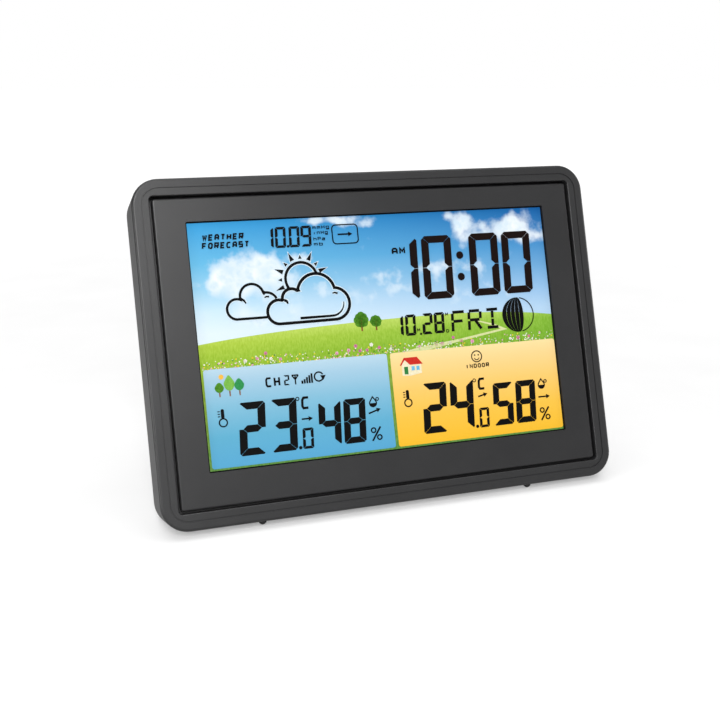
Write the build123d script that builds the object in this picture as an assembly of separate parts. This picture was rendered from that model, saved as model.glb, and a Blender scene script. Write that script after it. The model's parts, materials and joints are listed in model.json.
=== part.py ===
from build123d import *
import os
from math import cos, radians, sin, tan

# Home weather station: a leaning display case with a fold-out stand.
# Each piece is drawn in the case's own upright frame, in millimetres: X to the right as
# seen from the front, Y from the front face towards the back, Z up the face, with the
# origin at the middle of the front face. leaned() leans the finished pieces back and
# sets them on the table, and the export puts the origin under the middle of the whole object.

# ---- case ----
case_width = 200.0
case_height = 140.0
case_depth = 26.0
corner_radius = 11.0
wall = 2.0
lean = 18.8                      # degrees that the face leans back from upright
frame_depth = 10.0               # front frame's depth, up to the parting line
front_edge_radius = 1.2
back_edge_radius = 2.5
bevel_extra = 2.0                # degrees that the bottom bevel rises beyond the lean
lip_thickness = 1.2
lip_length = 1.5
lip_gap = 0.2

# ---- front face ----
band_width = 7.0                 # flat band of the frame around the bezel panel
groove_inset = 3.7
groove_width = 0.5
groove_depth = 0.4
well_radius = 1.7
well_wall = 1.2
well_depth = 5.0
well_edge_radius = 0.35
panel_gap = 1.0
panel_drop = 0.8
panel_thickness = 1.3
panel_skirt = 1.5
panel_corner_radius = 1.1
panel_edge_radius = 0.9
flange_thickness = 1.2
flange_lap = 0.8
window_side_margin = 20.5        # case edge to window edge
window_top_margin = 17.75
window_bottom_margin = 21.75
window_radius = 0.6

# ---- display stack, front to back ----
display_lap = 3.5                # module's edge hidden behind the panel
polariser_inset = 1.5
polariser_thickness = 0.2
glass_thickness = 0.7
glass_ledge = 4.0                # rear glass shows this much below the front glass
film_thickness = 0.2
guide_thickness = 3.0
tray_wall = 1.5
tray_floor = 0.8
tray_gap = 0.2
led_bar_thickness = 0.8
led_count = 8
led_length = 3.0
led_width = 2.0
led_height = 0.9
rib_thickness = 1.5
rib_gap = 0.3
rib_depth = 4.0
flex_width = 60.0
flex_thickness = 0.15
flex_bend_radius = 0.6
flex_below_glass = 1.0
flex_board_lap = 3.0
flex_slot_gap = 1.0
led_bar_end_gap = 2.0
led_end_margin = 8.0             # tray's inside to the outermost lamp's middle

# ---- boards and what is on them ----
board_thickness = 1.6
board_front_gap = 0.9            # backlight tray to main board
board_end_margin = 24.5          # case edge to board edge, above and below
board_corner_radius = 2.0
post_radius = 2.5
post_spacing = 40.0
board_screw_radius = 1.0
board_screw_length = 5.0
board_screw_head_radius = 1.9
board_screw_head_height = 1.2
case_boss_radius = 3.0
case_boss_gap = 1.0
case_boss_inset = 20.0           # case edge to the screw's middle, above and below
case_boss_wall = 1.2
case_boss_joint_depth = 14.0
case_screw_radius = 1.3
case_screw_length = 12.0
case_screw_head_radius = 2.2
case_screw_head_height = 1.6
case_screw_web = 2.0
counterbore_depth = 6.0
case_screw_relief = 0.6
screw_clearance = 0.1
recess_length = 2.2              # cross recess in a screw's head
recess_width = 0.6

# ---- stand ----
stand_width = 52.0
stand_thickness = 3.0
stand_pocket_depth = 6.0
stand_angle = 21.4               # degrees between the opened leg and upright
stand_corner_radius = 6.0
stand_stop_gap = 0.05
hinge_above_bottom = 62.0
hinge_below_back = 3.0
trunnion_radius = 1.5
trunnion_clearance = 0.06
barrel_radius = 2.0
pocket_side_gap = 0.4
pocket_end_gap = 0.5
grip_grooves = 4
grip_pitch = 2.4
grip_depth = 0.5
grip_above_corner = 2.0
grip_end_margin = 4.0
stand_hollow_ends = 34.0         # leg left at full thickness, at the hinge and tip together
stand_hollow_side = 7.0
stand_hollow_depth = 1.2
stand_hollow_radius = 4.0
stand_hollow_below_hinge = 8.0
trunnion_end_gap = 0.2

# ---- feet ----
foot_radius = 1.5
foot_spacing = 119.0
foot_behind_front = 4.5
foot_stem_radius = 0.9
table_clearance = 0.43           # parting line's height over the table

# ---- battery bay: three AAA cells side by side ----
cell_radius = 5.25
cell_length = 44.5
cell_tip_radius = 1.9
cell_tip_length = 0.9
cell_pitch = 11.0
cell_count = 3
cell_edge_radius = 0.5
bay_end_room = 0.55              # free room over and under the row of cells
contact_room = 1.8
bay_wall = 1.5
bay_floor = 1.2
bay_floor_gap = 0.2
bay_above_bottom = 17.2
bay_to_pocket = 2.6
door_thickness = 1.6
door_lap = 1.0
door_gap = 0.25
door_ledge_gap = 0.1
door_cell_gap = 0.3
door_finger_length = 1.5
door_finger_width = 4.0
door_finger_height = 1.0
door_finger_gap = 0.3
door_corner_radius = 0.8
tongue_half_width = 6.0
tongue_length = 8.0
tongue_slit = 0.8
ridge_count = 4
ridge_pitch = 1.6
ridge_radius = 0.35
ridge_width = 9.0
ridge_below_edge = 2.0
scoop_width = 12.0               # finger scoop above the door
scoop_height = 5.0
scoop_depth = 1.2
scoop_radius = 1.5
scoop_above_door = 2.0
contact_thickness = 0.4
contact_size = 8.0
contact_stud_radius = 1.6
spring_bend = 3.0
spring_tip_drop = 0.3
spring_width = 6.0

# ---- back controls and sockets ----
button_names = ["set", "up", "down", "channel", "alarm", "light"]
button_pitch = 15.0
button_length = 8.0
button_height = 5.0
button_proud = 1.0
button_gap = 0.25
button_flange = 1.0
button_flange_lap = 0.9
button_travel = 0.6
button_stem_radius = 1.7
button_edge_radius = 0.5
button_end_flat = 0.01           # straight bit left at each round end
button_post_beyond = 9.0
buttons_below_top = 34.0
flange_wall_gap = 0.05
switch_size = 6.0
switch_body = 3.1
switch_corner_radius = 0.4
plunger_floor_gap = 0.2
plunger_radius = 1.6
plunger_proud = 1.0
plunger_gap = 0.06
plunger_inside = 1.5
switch_depth = 3.5               # back wall's inner face to the switch bodies
button_board_height = 12.0
button_board_end = 13.5
button_board_corner_radius = 1.5
keyhole_spacing = 128.0
keyhole_below_top = 26.0
keyhole_radius = 4.0
keyhole_slot_radius = 2.0
keyhole_rise = 7.0
keyhole_pocket_depth = 5.0
keyhole_pocket_wall = 1.2
keyhole_pocket_gap = 1.4
jack_x = -62.0
jack_above_bottom = 26.0
jack_width = 9.0
jack_height = 11.0
jack_barrel_radius = 3.9
jack_bore_radius = 2.9
jack_bore_depth = 9.0
jack_pin_radius = 1.05
jack_pin_length = 8.0
jack_hole_gap = 0.2
jack_barrel_recess = 1.0
jack_body_gap = 0.3
jack_corner_radius = 0.5
jack_pin_tip_radius = 0.3
sensor_x = -62.0
sensor_below_hinge = 6.0
sensor_width = 12.0
sensor_height = 15.0
sensor_depth = 5.5
sensor_corner_radius = 0.6
sensor_slots = 4
sensor_slot_pitch = 3.0
sensor_slot_width = 1.2
sensor_slot_depth = 2.0
sensor_slot_margin = 2.0
vent_count = 6
vent_pitch = 4.0
vent_width = 1.6
vent_radius = 0.76
vent_height = 14.0
buzzer_above_hinge = 20.0
buzzer_radius = 6.0
buzzer_height = 8.0
sound_hole_radius = 0.9
sound_hole_circle = 3.2
sound_hole_count = 6             # round the middle one
buzzer_edge_radius = 0.4
buzzer_hole_radius = 1.0
buzzer_hole_depth = 2.0
radio_x = 60.0
radio_above_hinge = 20.0
radio_width = 22.0
radio_height = 12.0
radio_standoff = 2.4
radio_corner_radius = 0.5
radio_pins = 4
radio_pin_pitch = 2.5
radio_pin_side = 0.6
radio_pin_inset = 3.0
radio_pin_above_edge = 1.5
radio_can_side = 5.0
radio_can_height = 1.2
antenna_radius = 0.5
antenna_below_top = 13.0
antenna_clip_pitch = 40.0
antenna_inset = 2.0              # receiver board's edge to the wire
antenna_clearance = 0.05
clip_width = 1.6
clip_height = 5.0
clip_hold = 1.5
lead_radius = 0.6
ribbon_width = 8.0
ribbon_thickness = 1.0
ribbon_above_edge = 1.5
ribbon_drop = 8.0
ribbon_bend_radius = 1.0
lead_from_bay = 1.0
red_lead_rise = 22.0
black_lead_rise = 14.0
chip_radius = 8.0
chip_height = 1.6
chip_edge_radius = 1.2
chip_above_hinge = 12.0
crystal_radius = 1.0
crystal_length = 6.0
crystal_above_hinge = 26.0
pressure_width = 5.0
pressure_depth = 4.0
pressure_height = 1.8
pressure_corner_radius = 0.3
pressure_x = -40.0
pressure_above_hinge = 4.0

# ---- sizes that follow from the ones above ----
bottom = -case_height / 2
top = case_height / 2
window_width = case_width - 2 * window_side_margin
window_height = case_height - window_top_margin - window_bottom_margin
window_z = (window_bottom_margin - window_top_margin) / 2
well_width = case_width - 2 * band_width
well_height = case_height - 2 * band_width
panel_width = well_width - 2 * panel_gap
panel_height = well_height - 2 * panel_gap
panel_back = panel_drop + panel_thickness
display_width = window_width + 2 * display_lap
display_height = window_height + 2 * display_lap
display_bottom = window_z - display_height / 2
board_height = case_height - 2 * board_end_margin
case_boss_spacing = case_height - 2 * case_boss_inset
glass_front = panel_back + polariser_thickness
glass_split = glass_front + glass_thickness
tray_front = glass_split + glass_thickness
diffuser_front = tray_front + film_thickness
guide_front = diffuser_front + film_thickness
reflector_front = guide_front + guide_thickness
tray_inside_back = reflector_front + film_thickness
tray_back = tray_inside_back + tray_floor
film_width = display_width - 2 * (tray_wall + tray_gap)
film_height = display_height - 2 * (tray_wall + tray_gap)
board_front = tray_back + board_front_gap
board_back = board_front + board_thickness
back_inside = case_depth - wall
boss_x = display_width / 2 + case_boss_gap + case_boss_radius
board_width = 2 * (boss_x + post_radius)
pocket_floor = case_depth - stand_pocket_depth
hinge_y = case_depth - hinge_below_back
hinge_z = bottom + hinge_above_bottom
pocket_half = stand_width / 2 + pocket_side_gap
pocket_outer_half = pocket_half + wall
foot_straight = (frame_depth - foot_behind_front) * tan(radians(lean)) + table_clearance - foot_radius
bay_length = cell_length + cell_tip_length + 2 * contact_room
bay_height = (cell_count - 1) * cell_pitch + 2 * cell_radius + 2 * bay_end_room
bay_x = pocket_outer_half + bay_to_pocket + bay_wall + bay_length / 2
bay_z = bottom + bay_above_bottom + bay_wall + bay_height / 2
door_inside = case_depth - door_thickness
cell_y = door_inside - door_cell_gap - cell_radius
bay_inside = cell_y - cell_radius - bay_floor_gap
button_z = top - buttons_below_top
button_row = (len(button_names) - 1) * button_pitch / 2
switch_back = back_inside - switch_depth
switch_front = switch_back - switch_body
button_board_front = switch_front - board_thickness
button_post_x = button_row + button_post_beyond
plunger_back = switch_back + plunger_proud
keyhole_x = keyhole_spacing / 2
keyhole_z = top - keyhole_below_top
jack_z = bottom + jack_above_bottom
sensor_z = hinge_z - sensor_below_hinge
buzzer_z = hinge_z + buzzer_above_hinge
radio_z = hinge_z + radio_above_hinge
antenna_z = top - antenna_below_top


def rounded(width, height, radius):
    """Rectangle with rounded corners, or square ones at a radius of 0."""
    return RectangleRounded(width, height, radius) if radius > 0 else Rectangle(width, height)


def plate(width, height, near, far, radius=0.0, x=0.0, z=0.0):
    """Upright plate from depth near to depth far, with its middle at x, z."""
    face = Plane.XZ.offset(-near) * Pos(x, z) * rounded(width, height, radius)
    return extrude(face, near - far)


def rod(radius, near, far, x=0.0, z=0.0):
    """Round bar along Y from depth near to depth far."""
    face = Plane.XZ.offset(-near) * Pos(x, z) * Circle(radius)
    return extrude(face, near - far)


def along_x(sketch, width, x=0.0):
    """Side outline, drawn with Y across and Z up, made as wide as given about x."""
    side = Plane(origin=(x - width / 2, 0, 0), x_dir=(0, 1, 0), z_dir=(1, 0, 0))
    return extrude(side * sketch, width)


def case_ring(outer_inset, inner_inset, near, far):
    """Closed band that follows the case's outline, between two insets."""
    outer = plate(
        case_width - 2 * outer_inset,
        case_height - 2 * outer_inset,
        near,
        far,
        corner_radius - outer_inset,
    )
    inner = plate(
        case_width - 2 * inner_inset,
        case_height - 2 * inner_inset,
        near,
        far,
        corner_radius - inner_inset,
    )
    return outer - inner


def frame_plate(width, height, inner_width, inner_height, near, far, z=0.0, inner_z=0.0):
    """Square-cornered plate with a rectangular opening."""
    return plate(width, height, near, far, z=z) - plate(inner_width, inner_height, near, far, z=inner_z)


def mirrored_pair(half_spacing):
    """The two places at equal distances left and right."""
    return (-half_spacing, half_spacing)


def make_front_frame():
    """Outer band of the face with the case's front walls and the well for the panel."""
    block = plate(case_width, case_height, 0, frame_depth, corner_radius)
    block = fillet(block.faces().sort_by(Axis.Y)[0].edges(), front_edge_radius)
    hollow = plate(
        case_width - 2 * wall,
        case_height - 2 * wall,
        wall,
        frame_depth,
        corner_radius - wall,
    )
    well_tube = plate(
        well_width + 2 * well_wall,
        well_height + 2 * well_wall,
        wall,
        well_depth,
        well_radius + well_wall,
    )
    well = plate(well_width, well_height, 0, well_depth, well_radius)
    frame = block - hollow + well_tube - well
    front_face = frame.faces().sort_by(Axis.Y)[0]
    frame = fillet(front_face.inner_wires()[0].edges(), well_edge_radius)
    frame -= case_ring(groove_inset, groove_inset + groove_width, 0, groove_depth)
    for x in mirrored_pair(foot_spacing / 2):
        frame -= upright_rod(foot_stem_radius, bottom, bottom + wall, x)
    return frame


def upright_rod(radius, low, high, x):
    """Round bar along Z at the depth of the feet."""
    return extrude(Plane(origin=(x, foot_behind_front, low)) * Circle(radius), high - low)


def make_foot(x):
    """Domed rubber foot with a stem pressed into the frame's bottom wall."""
    dome_z = bottom - foot_straight
    foot = upright_rod(foot_radius, dome_z, bottom, x)
    foot += Pos(x, foot_behind_front, dome_z) * Sphere(foot_radius, arc_size1=-90, arc_size2=0)
    return foot + upright_rod(foot_stem_radius, bottom, bottom + wall, x)


def make_bezel_panel():
    """Flat dark panel around the display, with its skirt, flange, ribs and bosses."""
    skirt_back = well_depth + flange_thickness
    panel = plate(panel_width, panel_height, panel_drop, skirt_back, panel_corner_radius)
    panel = fillet(panel.faces().sort_by(Axis.Y)[0].edges(), panel_edge_radius)
    panel -= plate(
        panel_width - 2 * panel_skirt,
        panel_height - 2 * panel_skirt,
        panel_back,
        skirt_back,
    )
    flange_reach = 2 * (panel_gap + well_wall + flange_lap)
    panel += frame_plate(
        panel_width + flange_reach,
        panel_height + flange_reach,
        panel_width - 2 * panel_skirt,
        panel_height - 2 * panel_skirt,
        well_depth,
        skirt_back,
    )
    panel -= plate(window_width, window_height, panel_drop, panel_back, window_radius, z=window_z)
    rib_inside_width = display_width + 2 * rib_gap
    rib_inside_height = display_height + 2 * rib_gap
    ribs = frame_plate(
        rib_inside_width + 2 * rib_thickness,
        rib_inside_height + 2 * rib_thickness,
        rib_inside_width,
        rib_inside_height,
        panel_back,
        panel_back + rib_depth,
        z=window_z,
        inner_z=window_z,
    )
    slot_width = flex_width + 2 * flex_slot_gap
    ribs -= plate(slot_width, 2 * display_lap, panel_back, panel_back + rib_depth, z=display_bottom)
    panel += ribs
    for x in mirrored_pair(boss_x):
        for z in mirrored_pair(case_boss_spacing / 2):
            panel += rod(case_boss_radius, panel_back, case_boss_joint_depth, x, z)
            tip = case_depth - counterbore_depth - case_screw_length
            panel -= rod(case_screw_radius, tip, case_boss_joint_depth, x, z)
        for z in mirrored_pair(post_spacing / 2):
            panel += rod(post_radius, panel_back, board_front, x, z)
            panel -= rod(board_screw_radius, board_back - board_screw_length, board_front, x, z)
    return panel


def cover_block(inset, near, far):
    """The rear cover's solid outline, shrunk by inset, with its bevelled underside."""
    block = plate(
        case_width - 2 * inset,
        case_height - 2 * inset,
        near,
        far,
        corner_radius - inset,
    )
    slope = radians(lean + bevel_extra)
    run = case_depth - frame_depth
    low = bottom + inset / cos(slope)
    wedge = Polyline(
        (frame_depth, low),
        (frame_depth + 2 * run, low + 2 * run * tan(slope)),
        (frame_depth + 2 * run, 2 * bottom),
        (frame_depth, 2 * bottom),
        close=True,
    )
    return block - along_x(make_face(wedge), 2 * case_width)


def keyhole_cut(x):
    """Hang hole: a round entry with a narrow slot above it."""
    entry = rod(keyhole_radius, back_inside, case_depth, x, keyhole_z)
    slot = plate(
        2 * keyhole_slot_radius,
        keyhole_rise,
        back_inside,
        case_depth,
        x=x,
        z=keyhole_z + keyhole_rise / 2,
    )
    end = rod(keyhole_slot_radius, back_inside, case_depth, x, keyhole_z + keyhole_rise)
    return entry + slot + end


def keyhole_pocket(x, grow):
    """Closed box behind a hang hole, or its outside when grown by its wall."""
    width = 2 * (keyhole_radius + keyhole_pocket_gap + grow)
    height = width + keyhole_rise
    near = back_inside - keyhole_pocket_depth - grow
    return plate(width, height, near, back_inside, x=x, z=keyhole_z + keyhole_rise / 2)


def bay_box(near, far, grow):
    """Battery bay's inside, or its outside when grown by its wall."""
    return plate(bay_length + 2 * grow, bay_height + 2 * grow, near, far, x=bay_x, z=bay_z)


def button_outline(grow, near, far, x):
    """Long round-ended button shape."""
    height = button_height + 2 * grow
    return plate(button_length + 2 * grow, height, near, far, height / 2 - button_end_flat, x, button_z)


def button_places():
    """Each button's name with its place along the row."""
    return [(name, i * button_pitch - button_row) for i, name in enumerate(button_names)]


def make_rear_cover():
    """Back shell with its stand pocket, battery bay, hang holes, vents and bosses."""
    outer = cover_block(0, frame_depth, case_depth)
    cover = fillet(outer.faces().sort_by(Axis.Y)[-1].edges(), back_edge_radius)
    cover -= cover_block(wall, frame_depth, back_inside)
    cover += cover_lip()
    hinge_top = hinge_z + swing_radius() + pocket_end_gap
    pocket_height = hinge_top - 2 * bottom
    pocket_mid = hinge_top - pocket_height / 2
    pocket = plate(
        2 * pocket_outer_half,
        pocket_height + wall * 2,
        pocket_floor - wall,
        back_inside,
        z=pocket_mid,
    )
    cover += pocket & cover_block(wall / 2, frame_depth, case_depth)
    cover -= plate(2 * pocket_half, pocket_height, pocket_floor, case_depth, z=pocket_mid)
    cover -= hinge_rod(trunnion_radius + trunnion_clearance, 2 * pocket_outer_half)
    cover += bay_box(bay_inside - bay_floor, back_inside, bay_wall)
    cover -= bay_box(bay_inside, case_depth, 0)
    cover -= bay_box(door_inside - door_ledge_gap, case_depth, door_lap + door_gap)
    scoop_z = bay_z + bay_height / 2 + door_lap + scoop_above_door
    scoop_front = case_depth - scoop_depth
    cover -= plate(scoop_width, scoop_height, scoop_front, case_depth, scoop_radius, bay_x, scoop_z)
    for x in mirrored_pair(keyhole_x):
        cover += keyhole_pocket(x, keyhole_pocket_wall)
        cover -= keyhole_pocket(x, 0)
        cover -= keyhole_cut(x)
    for name, x in button_places():
        cover -= button_outline(button_gap, back_inside, case_depth, x)
    for x in mirrored_pair(button_post_x):
        cover += rod(post_radius, switch_front, back_inside, x, button_z)
        cover -= rod(board_screw_radius, switch_front, button_screw_end(), x, button_z)
    cover -= rod(jack_barrel_radius + jack_hole_gap, back_inside, case_depth, jack_x, jack_z)
    for i in range(vent_count):
        x = sensor_x + (i - (vent_count - 1) / 2) * vent_pitch
        cover -= plate(vent_width, vent_height, back_inside, case_depth, vent_radius, x, sensor_z)
    cover -= sound_holes()
    for x in mirrored_pair(boss_x):
        for z in mirrored_pair(case_boss_spacing / 2):
            cover = cover + cover_boss(x, z) - cover_boss_bore(x, z)
    for x in antenna_clip_places():
        cover += antenna_clip(x)
    cover -= make_antenna(antenna_clearance)
    return cover


def cover_lip():
    """Tongue that slips inside the front frame's walls."""
    inside = wall + lip_gap
    root = case_ring(wall / 2, inside + lip_thickness, frame_depth, frame_depth + wall)
    tongue = case_ring(inside, inside + lip_thickness, frame_depth - lip_length, frame_depth)
    return (root & cover_block(0, frame_depth, case_depth)) + tongue


def cover_boss(x, z):
    """Tall screw boss inside the rear cover."""
    radius = case_screw_head_radius + screw_clearance + case_boss_wall
    return rod(radius, case_boss_joint_depth, back_inside, x, z)


def cover_boss_bore(x, z):
    """Counterbore for the screw's head and the hole for its shank."""
    seat = case_depth - counterbore_depth
    head = rod(case_screw_head_radius + screw_clearance, seat, case_depth, x, z)
    shank = rod(case_screw_radius + screw_clearance, case_boss_joint_depth, seat, x, z)
    relief_end = seat - case_screw_web
    relief = rod(case_screw_radius + case_screw_relief, case_boss_joint_depth, relief_end, x, z)
    return head + shank + relief


def sound_holes():
    """Holes over the buzzer: one in the middle and six around it."""
    holes = rod(sound_hole_radius, back_inside, case_depth, sensor_x, buzzer_z)
    for i in range(sound_hole_count):
        angle = radians(360 * i / sound_hole_count)
        x = sensor_x + sound_hole_circle * cos(angle)
        z = buzzer_z + sound_hole_circle * sin(angle)
        holes += rod(sound_hole_radius, back_inside, case_depth, x, z)
    return holes


def hinge_rod(radius, width):
    """Round bar along the stand's hinge axis."""
    return along_x(Pos(hinge_y, hinge_z) * Circle(radius), width)


def table_level():
    """Height of the table under the leaning case, measured before it is set down."""
    tilt = radians(lean)
    return -foot_behind_front * sin(tilt) + (bottom - foot_straight) * cos(tilt) - foot_radius


def stand_reach():
    """Distance from the hinge axis to the tip of the stand's leg."""
    tilt = radians(lean)
    hinge_height = -hinge_y * sin(tilt) + hinge_z * cos(tilt) - table_level()
    tip_radius = stand_thickness / 2
    return (hinge_height - tip_radius) / cos(radians(stand_angle)) + tip_radius


def stand_heel():
    """Height of the stand's heel over the hinge, which stops it on the pocket's floor."""
    opening = radians(lean + stand_angle)
    room = hinge_y - pocket_floor - stand_stop_gap
    return (room - stand_thickness / 2 * cos(opening)) / sin(opening)


def swing_radius():
    """Reach of the heel's far corner as the stand turns."""
    return (stand_heel() ** 2 + (stand_thickness / 2) ** 2) ** 0.5


def make_stand():
    """Fold-out leg with moulded trunnions, opened against its stop."""
    reach = stand_reach()
    heel = stand_heel()
    tip_radius = stand_thickness / 2
    length = reach - tip_radius + heel
    leg_side = Pos(hinge_y, hinge_z + heel - length / 2) * Rectangle(stand_thickness, length)
    tip_side = Pos(hinge_y, hinge_z + heel - length) * Circle(tip_radius)
    leg = along_x(leg_side, stand_width) + along_x(tip_side, stand_width)
    outline_height = 2 * reach
    outline = plate(
        stand_width,
        outline_height,
        hinge_y - stand_thickness,
        hinge_y + stand_thickness,
        stand_corner_radius,
        z=hinge_z - reach + outline_height / 2,
    )
    leg = leg & outline
    hollow_height = reach - stand_hollow_ends
    leg -= plate(
        stand_width - 2 * stand_hollow_side,
        hollow_height,
        hinge_y + tip_radius - stand_hollow_depth,
        hinge_y + tip_radius,
        stand_hollow_radius,
        z=hinge_z - stand_hollow_below_hinge - hollow_height / 2,
    )
    for i in range(grip_grooves):
        groove_z = hinge_z - reach + stand_corner_radius + grip_above_corner + i * grip_pitch
        groove = Pos(hinge_y + tip_radius, groove_z) * Circle(grip_depth)
        leg -= along_x(groove, stand_width - 2 * (stand_corner_radius + grip_end_margin))
    leg += hinge_rod(barrel_radius, stand_width)
    leg += hinge_rod(trunnion_radius, 2 * (pocket_outer_half - trunnion_end_gap))
    hinge = Axis((0, hinge_y, hinge_z), (1, 0, 0))
    return leg.rotate(hinge, lean + stand_angle)


def make_battery_door():
    """Snap-in cover of the battery bay, with a sprung tongue and two locating fingers."""
    width = bay_length + 2 * door_lap
    height = bay_height + 2 * door_lap
    door = plate(width, height, door_inside, case_depth, door_corner_radius, bay_x, bay_z)
    top_edge = bay_z + height / 2
    for side in mirrored_pair(tongue_half_width):
        slit_z = top_edge - tongue_length / 2
        door -= plate(tongue_slit, tongue_length, door_inside, case_depth, x=bay_x + side, z=slit_z)
    for i in range(ridge_count):
        ridge_z = top_edge - ridge_below_edge - i * ridge_pitch
        door += along_x(Pos(case_depth, ridge_z) * Circle(ridge_radius), ridge_width, bay_x)
    finger_z = bay_z - bay_height / 2 + door_finger_gap + door_finger_height / 2
    finger_front = door_inside - door_finger_length
    for side in mirrored_pair(bay_length / 3):
        x = bay_x + side
        door += plate(door_finger_width, door_finger_height, finger_front, door_inside, x=x, z=finger_z)
    return door


def cell_places():
    """Heights of the cells, from the lowest up."""
    return [bay_z + (i - (cell_count - 1) / 2) * cell_pitch for i in range(cell_count)]


def make_cell(z):
    """AAA cell lying along X with its raised tip."""
    body_start = bay_x - (cell_length + cell_tip_length) / 2
    end = Plane(origin=(body_start, cell_y, z), x_dir=(0, 1, 0), z_dir=(1, 0, 0))
    body = fillet(extrude(end * Circle(cell_radius), cell_length).edges(), cell_edge_radius)
    return body + extrude(end.offset(cell_length) * Circle(cell_tip_radius), cell_tip_length)


def make_cell_contacts():
    """Flat contact plates against the bay's right end, each with a pressed stud."""
    outer = bay_x + bay_length / 2
    stud = contact_room - contact_thickness
    contacts = Part()
    for z in cell_places():
        square = Pos(cell_y, z) * Rectangle(contact_size, contact_size)
        contacts += along_x(square, contact_thickness, outer - contact_thickness / 2)
        bump = Pos(cell_y, z) * Circle(contact_stud_radius)
        contacts += along_x(bump, stud, outer - contact_thickness - stud / 2)
    return contacts


def make_cell_springs():
    """Bent leaf springs against the bay's left end."""
    start = bay_x - bay_length / 2
    inner = start + contact_thickness
    tip = start + contact_room
    foot = contact_size / 2
    springs = Part()
    for z in cell_places():
        leaf = Polyline(
            (start, cell_y + foot),
            (inner, cell_y + foot),
            (inner, cell_y - spring_bend),
            (tip - contact_thickness, cell_y),
            (tip - contact_thickness, cell_y + spring_bend),
            (tip, cell_y + spring_bend),
            (tip, cell_y - spring_tip_drop),
            (inner, cell_y - foot),
            (start, cell_y - foot),
            close=True,
        )
        face = Plane(origin=(0, 0, z - spring_width / 2)) * make_face(leaf)
        springs += extrude(face, spring_width)
    return springs


def make_lead(end_x, start_z, rise):
    """Insulated battery lead from a bay end up to the main board."""
    start = (end_x, cell_y, start_z)
    turn = (end_x, cell_y, start_z + rise)
    finish = (end_x, board_back, start_z + rise)
    return swept_wire([start, turn, finish], lead_radius)


def swept_wire(points, radius):
    """Round wire along straight runs joined by wide arcs."""
    runs = [(Vector(*b) - Vector(*a)).length for a, b in zip(points, points[1:])]
    bends = [0.45 * min(pair) for pair in zip(runs, runs[1:])]
    path = FilletPolyline(*points, radius=min(bends))
    return sweep(Plane(origin=path @ 0, z_dir=path % 0) * Circle(radius), path)


def antenna_points():
    """Route of the receiver's wire: up from its board, then along the case's top."""
    start_x = radio_x + radio_width / 2 - antenna_inset
    depth = board_back + radio_standoff + board_thickness + antenna_radius
    finish_x = -antenna_clip_pitch * 1.5
    return [
        (start_x, depth, radio_z),
        (start_x, depth, antenna_z),
        (finish_x, depth, antenna_z),
    ]


def make_antenna(grow=0.0):
    """Wire antenna of the outdoor sensor's receiver."""
    return swept_wire(antenna_points(), antenna_radius + grow)


def antenna_clip_places():
    """Places of the clips along the antenna's level run."""
    return [-antenna_clip_pitch, 0.0, antenna_clip_pitch]


def antenna_clip(x):
    """Rib on the rear cover that holds the antenna wire."""
    depth = antenna_points()[0][1]
    return plate(clip_width, clip_height, depth - clip_hold, back_inside, x=x, z=antenna_z)


def make_display_flex():
    """Flat connector from the rear glass's ledge, round the tray, to the main board."""
    half = flex_thickness / 2
    low = display_bottom - rib_gap - rib_thickness / 2
    path = FilletPolyline(
        (glass_split - half, display_bottom + glass_ledge - flex_below_glass),
        (glass_split - half, low),
        (board_back + half, low),
        (board_back + half, -board_height / 2 + flex_board_lap),
        radius=flex_bend_radius,
    )
    return along_x(trace(path, flex_thickness), flex_width)


def make_button_ribbon():
    """Short ribbon between the button board and the main board."""
    low = button_z - button_board_height / 2 + ribbon_above_edge
    mid = (board_back + button_board_front) / 2
    path = FilletPolyline(
        (button_board_front, low),
        (mid, low),
        (mid, low - ribbon_drop),
        (board_back, low - ribbon_drop),
        radius=ribbon_bend_radius,
    )
    return along_x(trace(path, ribbon_thickness), ribbon_width)


def make_light_guide():
    """Clear acrylic sheet, short of the tray on the side where the lamps stand."""
    room = led_bar_thickness + led_height + tray_gap
    return plate(film_width - room, film_height, guide_front, reflector_front, x=room / 2)


def make_led_bar():
    """Thin board that stands in the tray's left side."""
    x = -film_width / 2 + led_bar_thickness / 2
    height = film_height - 2 * led_bar_end_gap
    return plate(led_bar_thickness, height, guide_front, reflector_front, x=x, z=window_z)


def make_leds():
    """Row of lamps on the bar, facing the light guide's edge."""
    x = -film_width / 2 + led_bar_thickness + led_height / 2
    mid = (guide_front + reflector_front) / 2
    pitch = (film_height - 2 * led_end_margin) / (led_count - 1)
    leds = Part()
    for i in range(led_count):
        z = window_z + (i - (led_count - 1) / 2) * pitch
        leds += plate(led_height, led_length, mid - led_width / 2, mid + led_width / 2, x=x, z=z)
    return leds


def make_backlight_tray():
    """White tray around the light guide and films."""
    tray = plate(display_width, display_height, tray_front, tray_back, z=window_z)
    inner_width = display_width - 2 * tray_wall
    inner_height = display_height - 2 * tray_wall
    return tray - plate(inner_width, inner_height, tray_front, tray_inside_back, z=window_z)


def make_main_board():
    """Main circuit board with its four screw holes."""
    board = plate(board_width, board_height, board_front, board_back, board_corner_radius)
    for x in mirrored_pair(boss_x):
        for z in mirrored_pair(post_spacing / 2):
            board -= rod(board_screw_radius + screw_clearance, board_front, board_back, x, z)
    return board


def screw(shank_radius, length, head_radius, head_height, seat, direction, x, z):
    """Cross-head screw whose head sits at depth seat; direction 1 drives it to the front."""
    shank = rod(shank_radius, seat - length, seat, x, z)
    head = rod(head_radius, seat, seat + head_height, x, z)
    slot_depth = head_height / 2
    for wide, tall in ((recess_length, recess_width), (recess_width, recess_length)):
        head -= plate(wide, tall, seat + head_height - slot_depth, seat + head_height, x=x, z=z)
    made = shank + head
    return made if direction > 0 else made.mirror(Plane.XZ.offset(-seat))


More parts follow.
